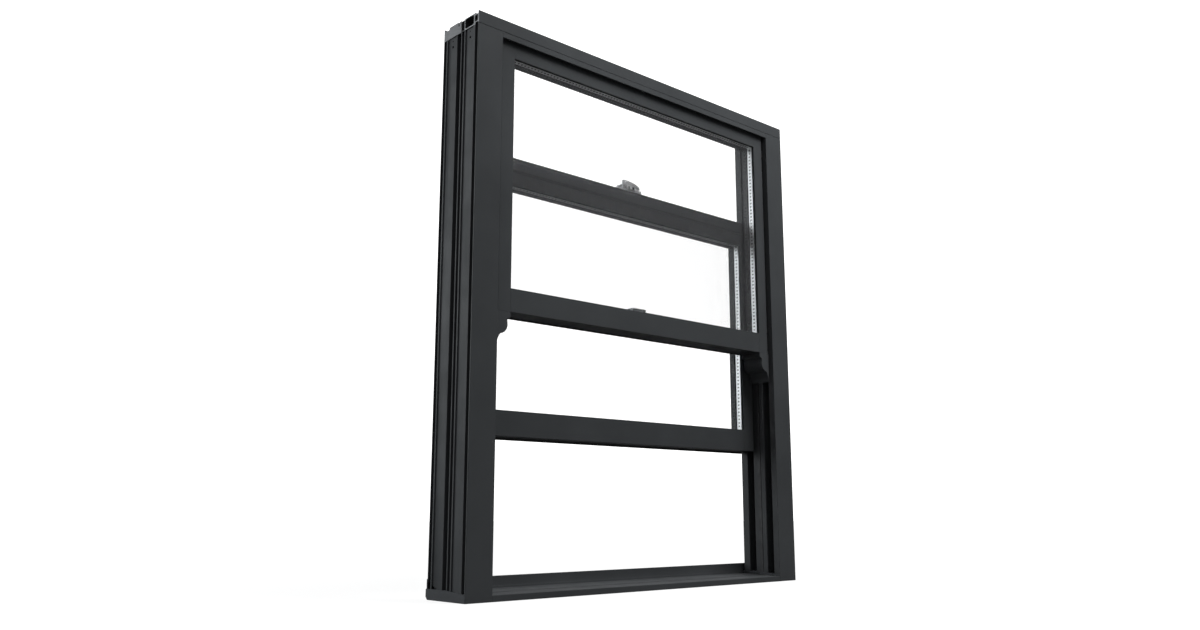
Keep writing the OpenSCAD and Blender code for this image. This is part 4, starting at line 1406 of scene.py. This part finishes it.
def small_screws(finishes: Finishes) -> None:
    """Puts cross-head screws in the keeper and in the fastener's two feet, one foot lower.

    Args:
        finishes: the window's finishes.
    """
    head_r, step = 3.0 * MM, 7.0 * MM
    for node, body, drop in (("keeper_screws", Body.UPPER_SASH, 0.0),
                             ("fastener_screws", Body.LOWER_SASH, step)):
        lo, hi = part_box(node)
        x, y, z = hi.x - head_r, (lo.y + hi.y) / 2, hi.z - 0.5 * MM
        CrossHeadScrews(finishes, body, node, ((-x, y, z - drop), (x, y, z))).build(14 * MM)


def meeting_seal_and_shade_strip(finishes: Finishes) -> None:
    """Lays the dark weather strip in the recess along the top of the lower meeting rail.

    Its section is a flat lip with a rounded nose, run from stile to stile. Its dark colour is
    partly painted shade: it darkens the recessed band, which the shallow recess barely shades.

    Args:
        finishes: the window's finishes.
    """
    lo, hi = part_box("meeting_pile")
    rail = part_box("lower_meeting_rail")[1].z
    foot, top = rail - 9.8 * MM, rail - 1.6 * MM
    back = hi.y - 0.5 * MM
    section = np.array([(back, foot), (back - 1.1 * MM, foot), (back - 1.4 * MM, foot + 1.2 * MM),
                        (back - 0.9 * MM, foot + 3 * MM), (back - 0.9 * MM, top - 3 * MM),
                        (back - 1.4 * MM, top - 1.2 * MM), (back - 1.1 * MM, top), (back, top)])
    # partly a real seal and partly painted shade: the dark rubber stands for the shade in the
    # rail's recess
    strip = run_across("meeting_seal_and_shade_strip", section, np.linspace(lo.x, hi.x, 24))
    Assembly(finishes, Body.LOWER_SASH).place(strip, "gasket", "gasket")


def sill_strip(finishes: Finishes) -> None:
    """Runs a bulb seal under the bottom rail, from stile edge to stile edge.

    Its section is a flat foot with a rounded bulb below it: close to half an ellipse, as deep
    as the seal.

    Args:
        finishes: the window's finishes.
    """
    lo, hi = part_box("sill_seal")
    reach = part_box("lower_stile_right")[1].x - 1 * MM
    turn = np.linspace(0, np.pi, 15)
    middle, half = (lo.y + hi.y) / 2, (hi.y - lo.y) / 2
    drop = (hi.z - lo.z) * np.sin(turn) ** 0.6
    bulb = np.stack([middle - half * np.cos(turn), hi.z - drop], axis=1)
    strip = run_across("sill_strip", bulb, np.linspace(-reach, reach, 32))
    smooth(strip)
    Assembly(finishes, Body.LOWER_SASH).place(strip, "rubber", "rubber", ["sill_seal"])


def main() -> None:
    """Builds the window's looks, sub-assembly by sub-assembly, then the studio."""
    logging.basicConfig(level=logging.INFO, format="%(name)s: %(message)s")
    finishes = Finishes()
    finishes.build()
    FrameParts(finishes, Body.FRAME).build()
    SashParts(finishes, Body.UPPER_SASH, Sash.UPPER,
              ("upper_top_rail", "upper_meeting_rail", "upper_stile_left", "upper_stile_right",
               "horn_left", "horn_right"), ("upper_bead_top", "upper_beads_upright")).build()
    SashParts(finishes, Body.LOWER_SASH, Sash.LOWER,
              ("lower_meeting_rail", "lower_bottom_rail", "lower_stile_left",
               "lower_stile_right", "sash_lifts"),
              ("lower_beads_level", "lower_beads_upright"), seed=8).build()
    lower = Assembly(finishes, Body.LOWER_SASH)
    upper = Assembly(finishes, Body.UPPER_SASH)
    FastenerBase(finishes, Body.LOWER_SASH).build()
    meeting_seal_and_shade_strip(finishes)
    CamLever(finishes, Body.LEVER).build()
    upper.soften_nodes("cast_keeper", "cast_keeper", ("keeper",), 0.6 * MM, 3)
    small_screws(finishes)
    sill_strip(finishes)
    lower.dress_nodes("pile_level", ("meeting_pile",))
    Studio().build()


if __name__ == "__main__":
    main()
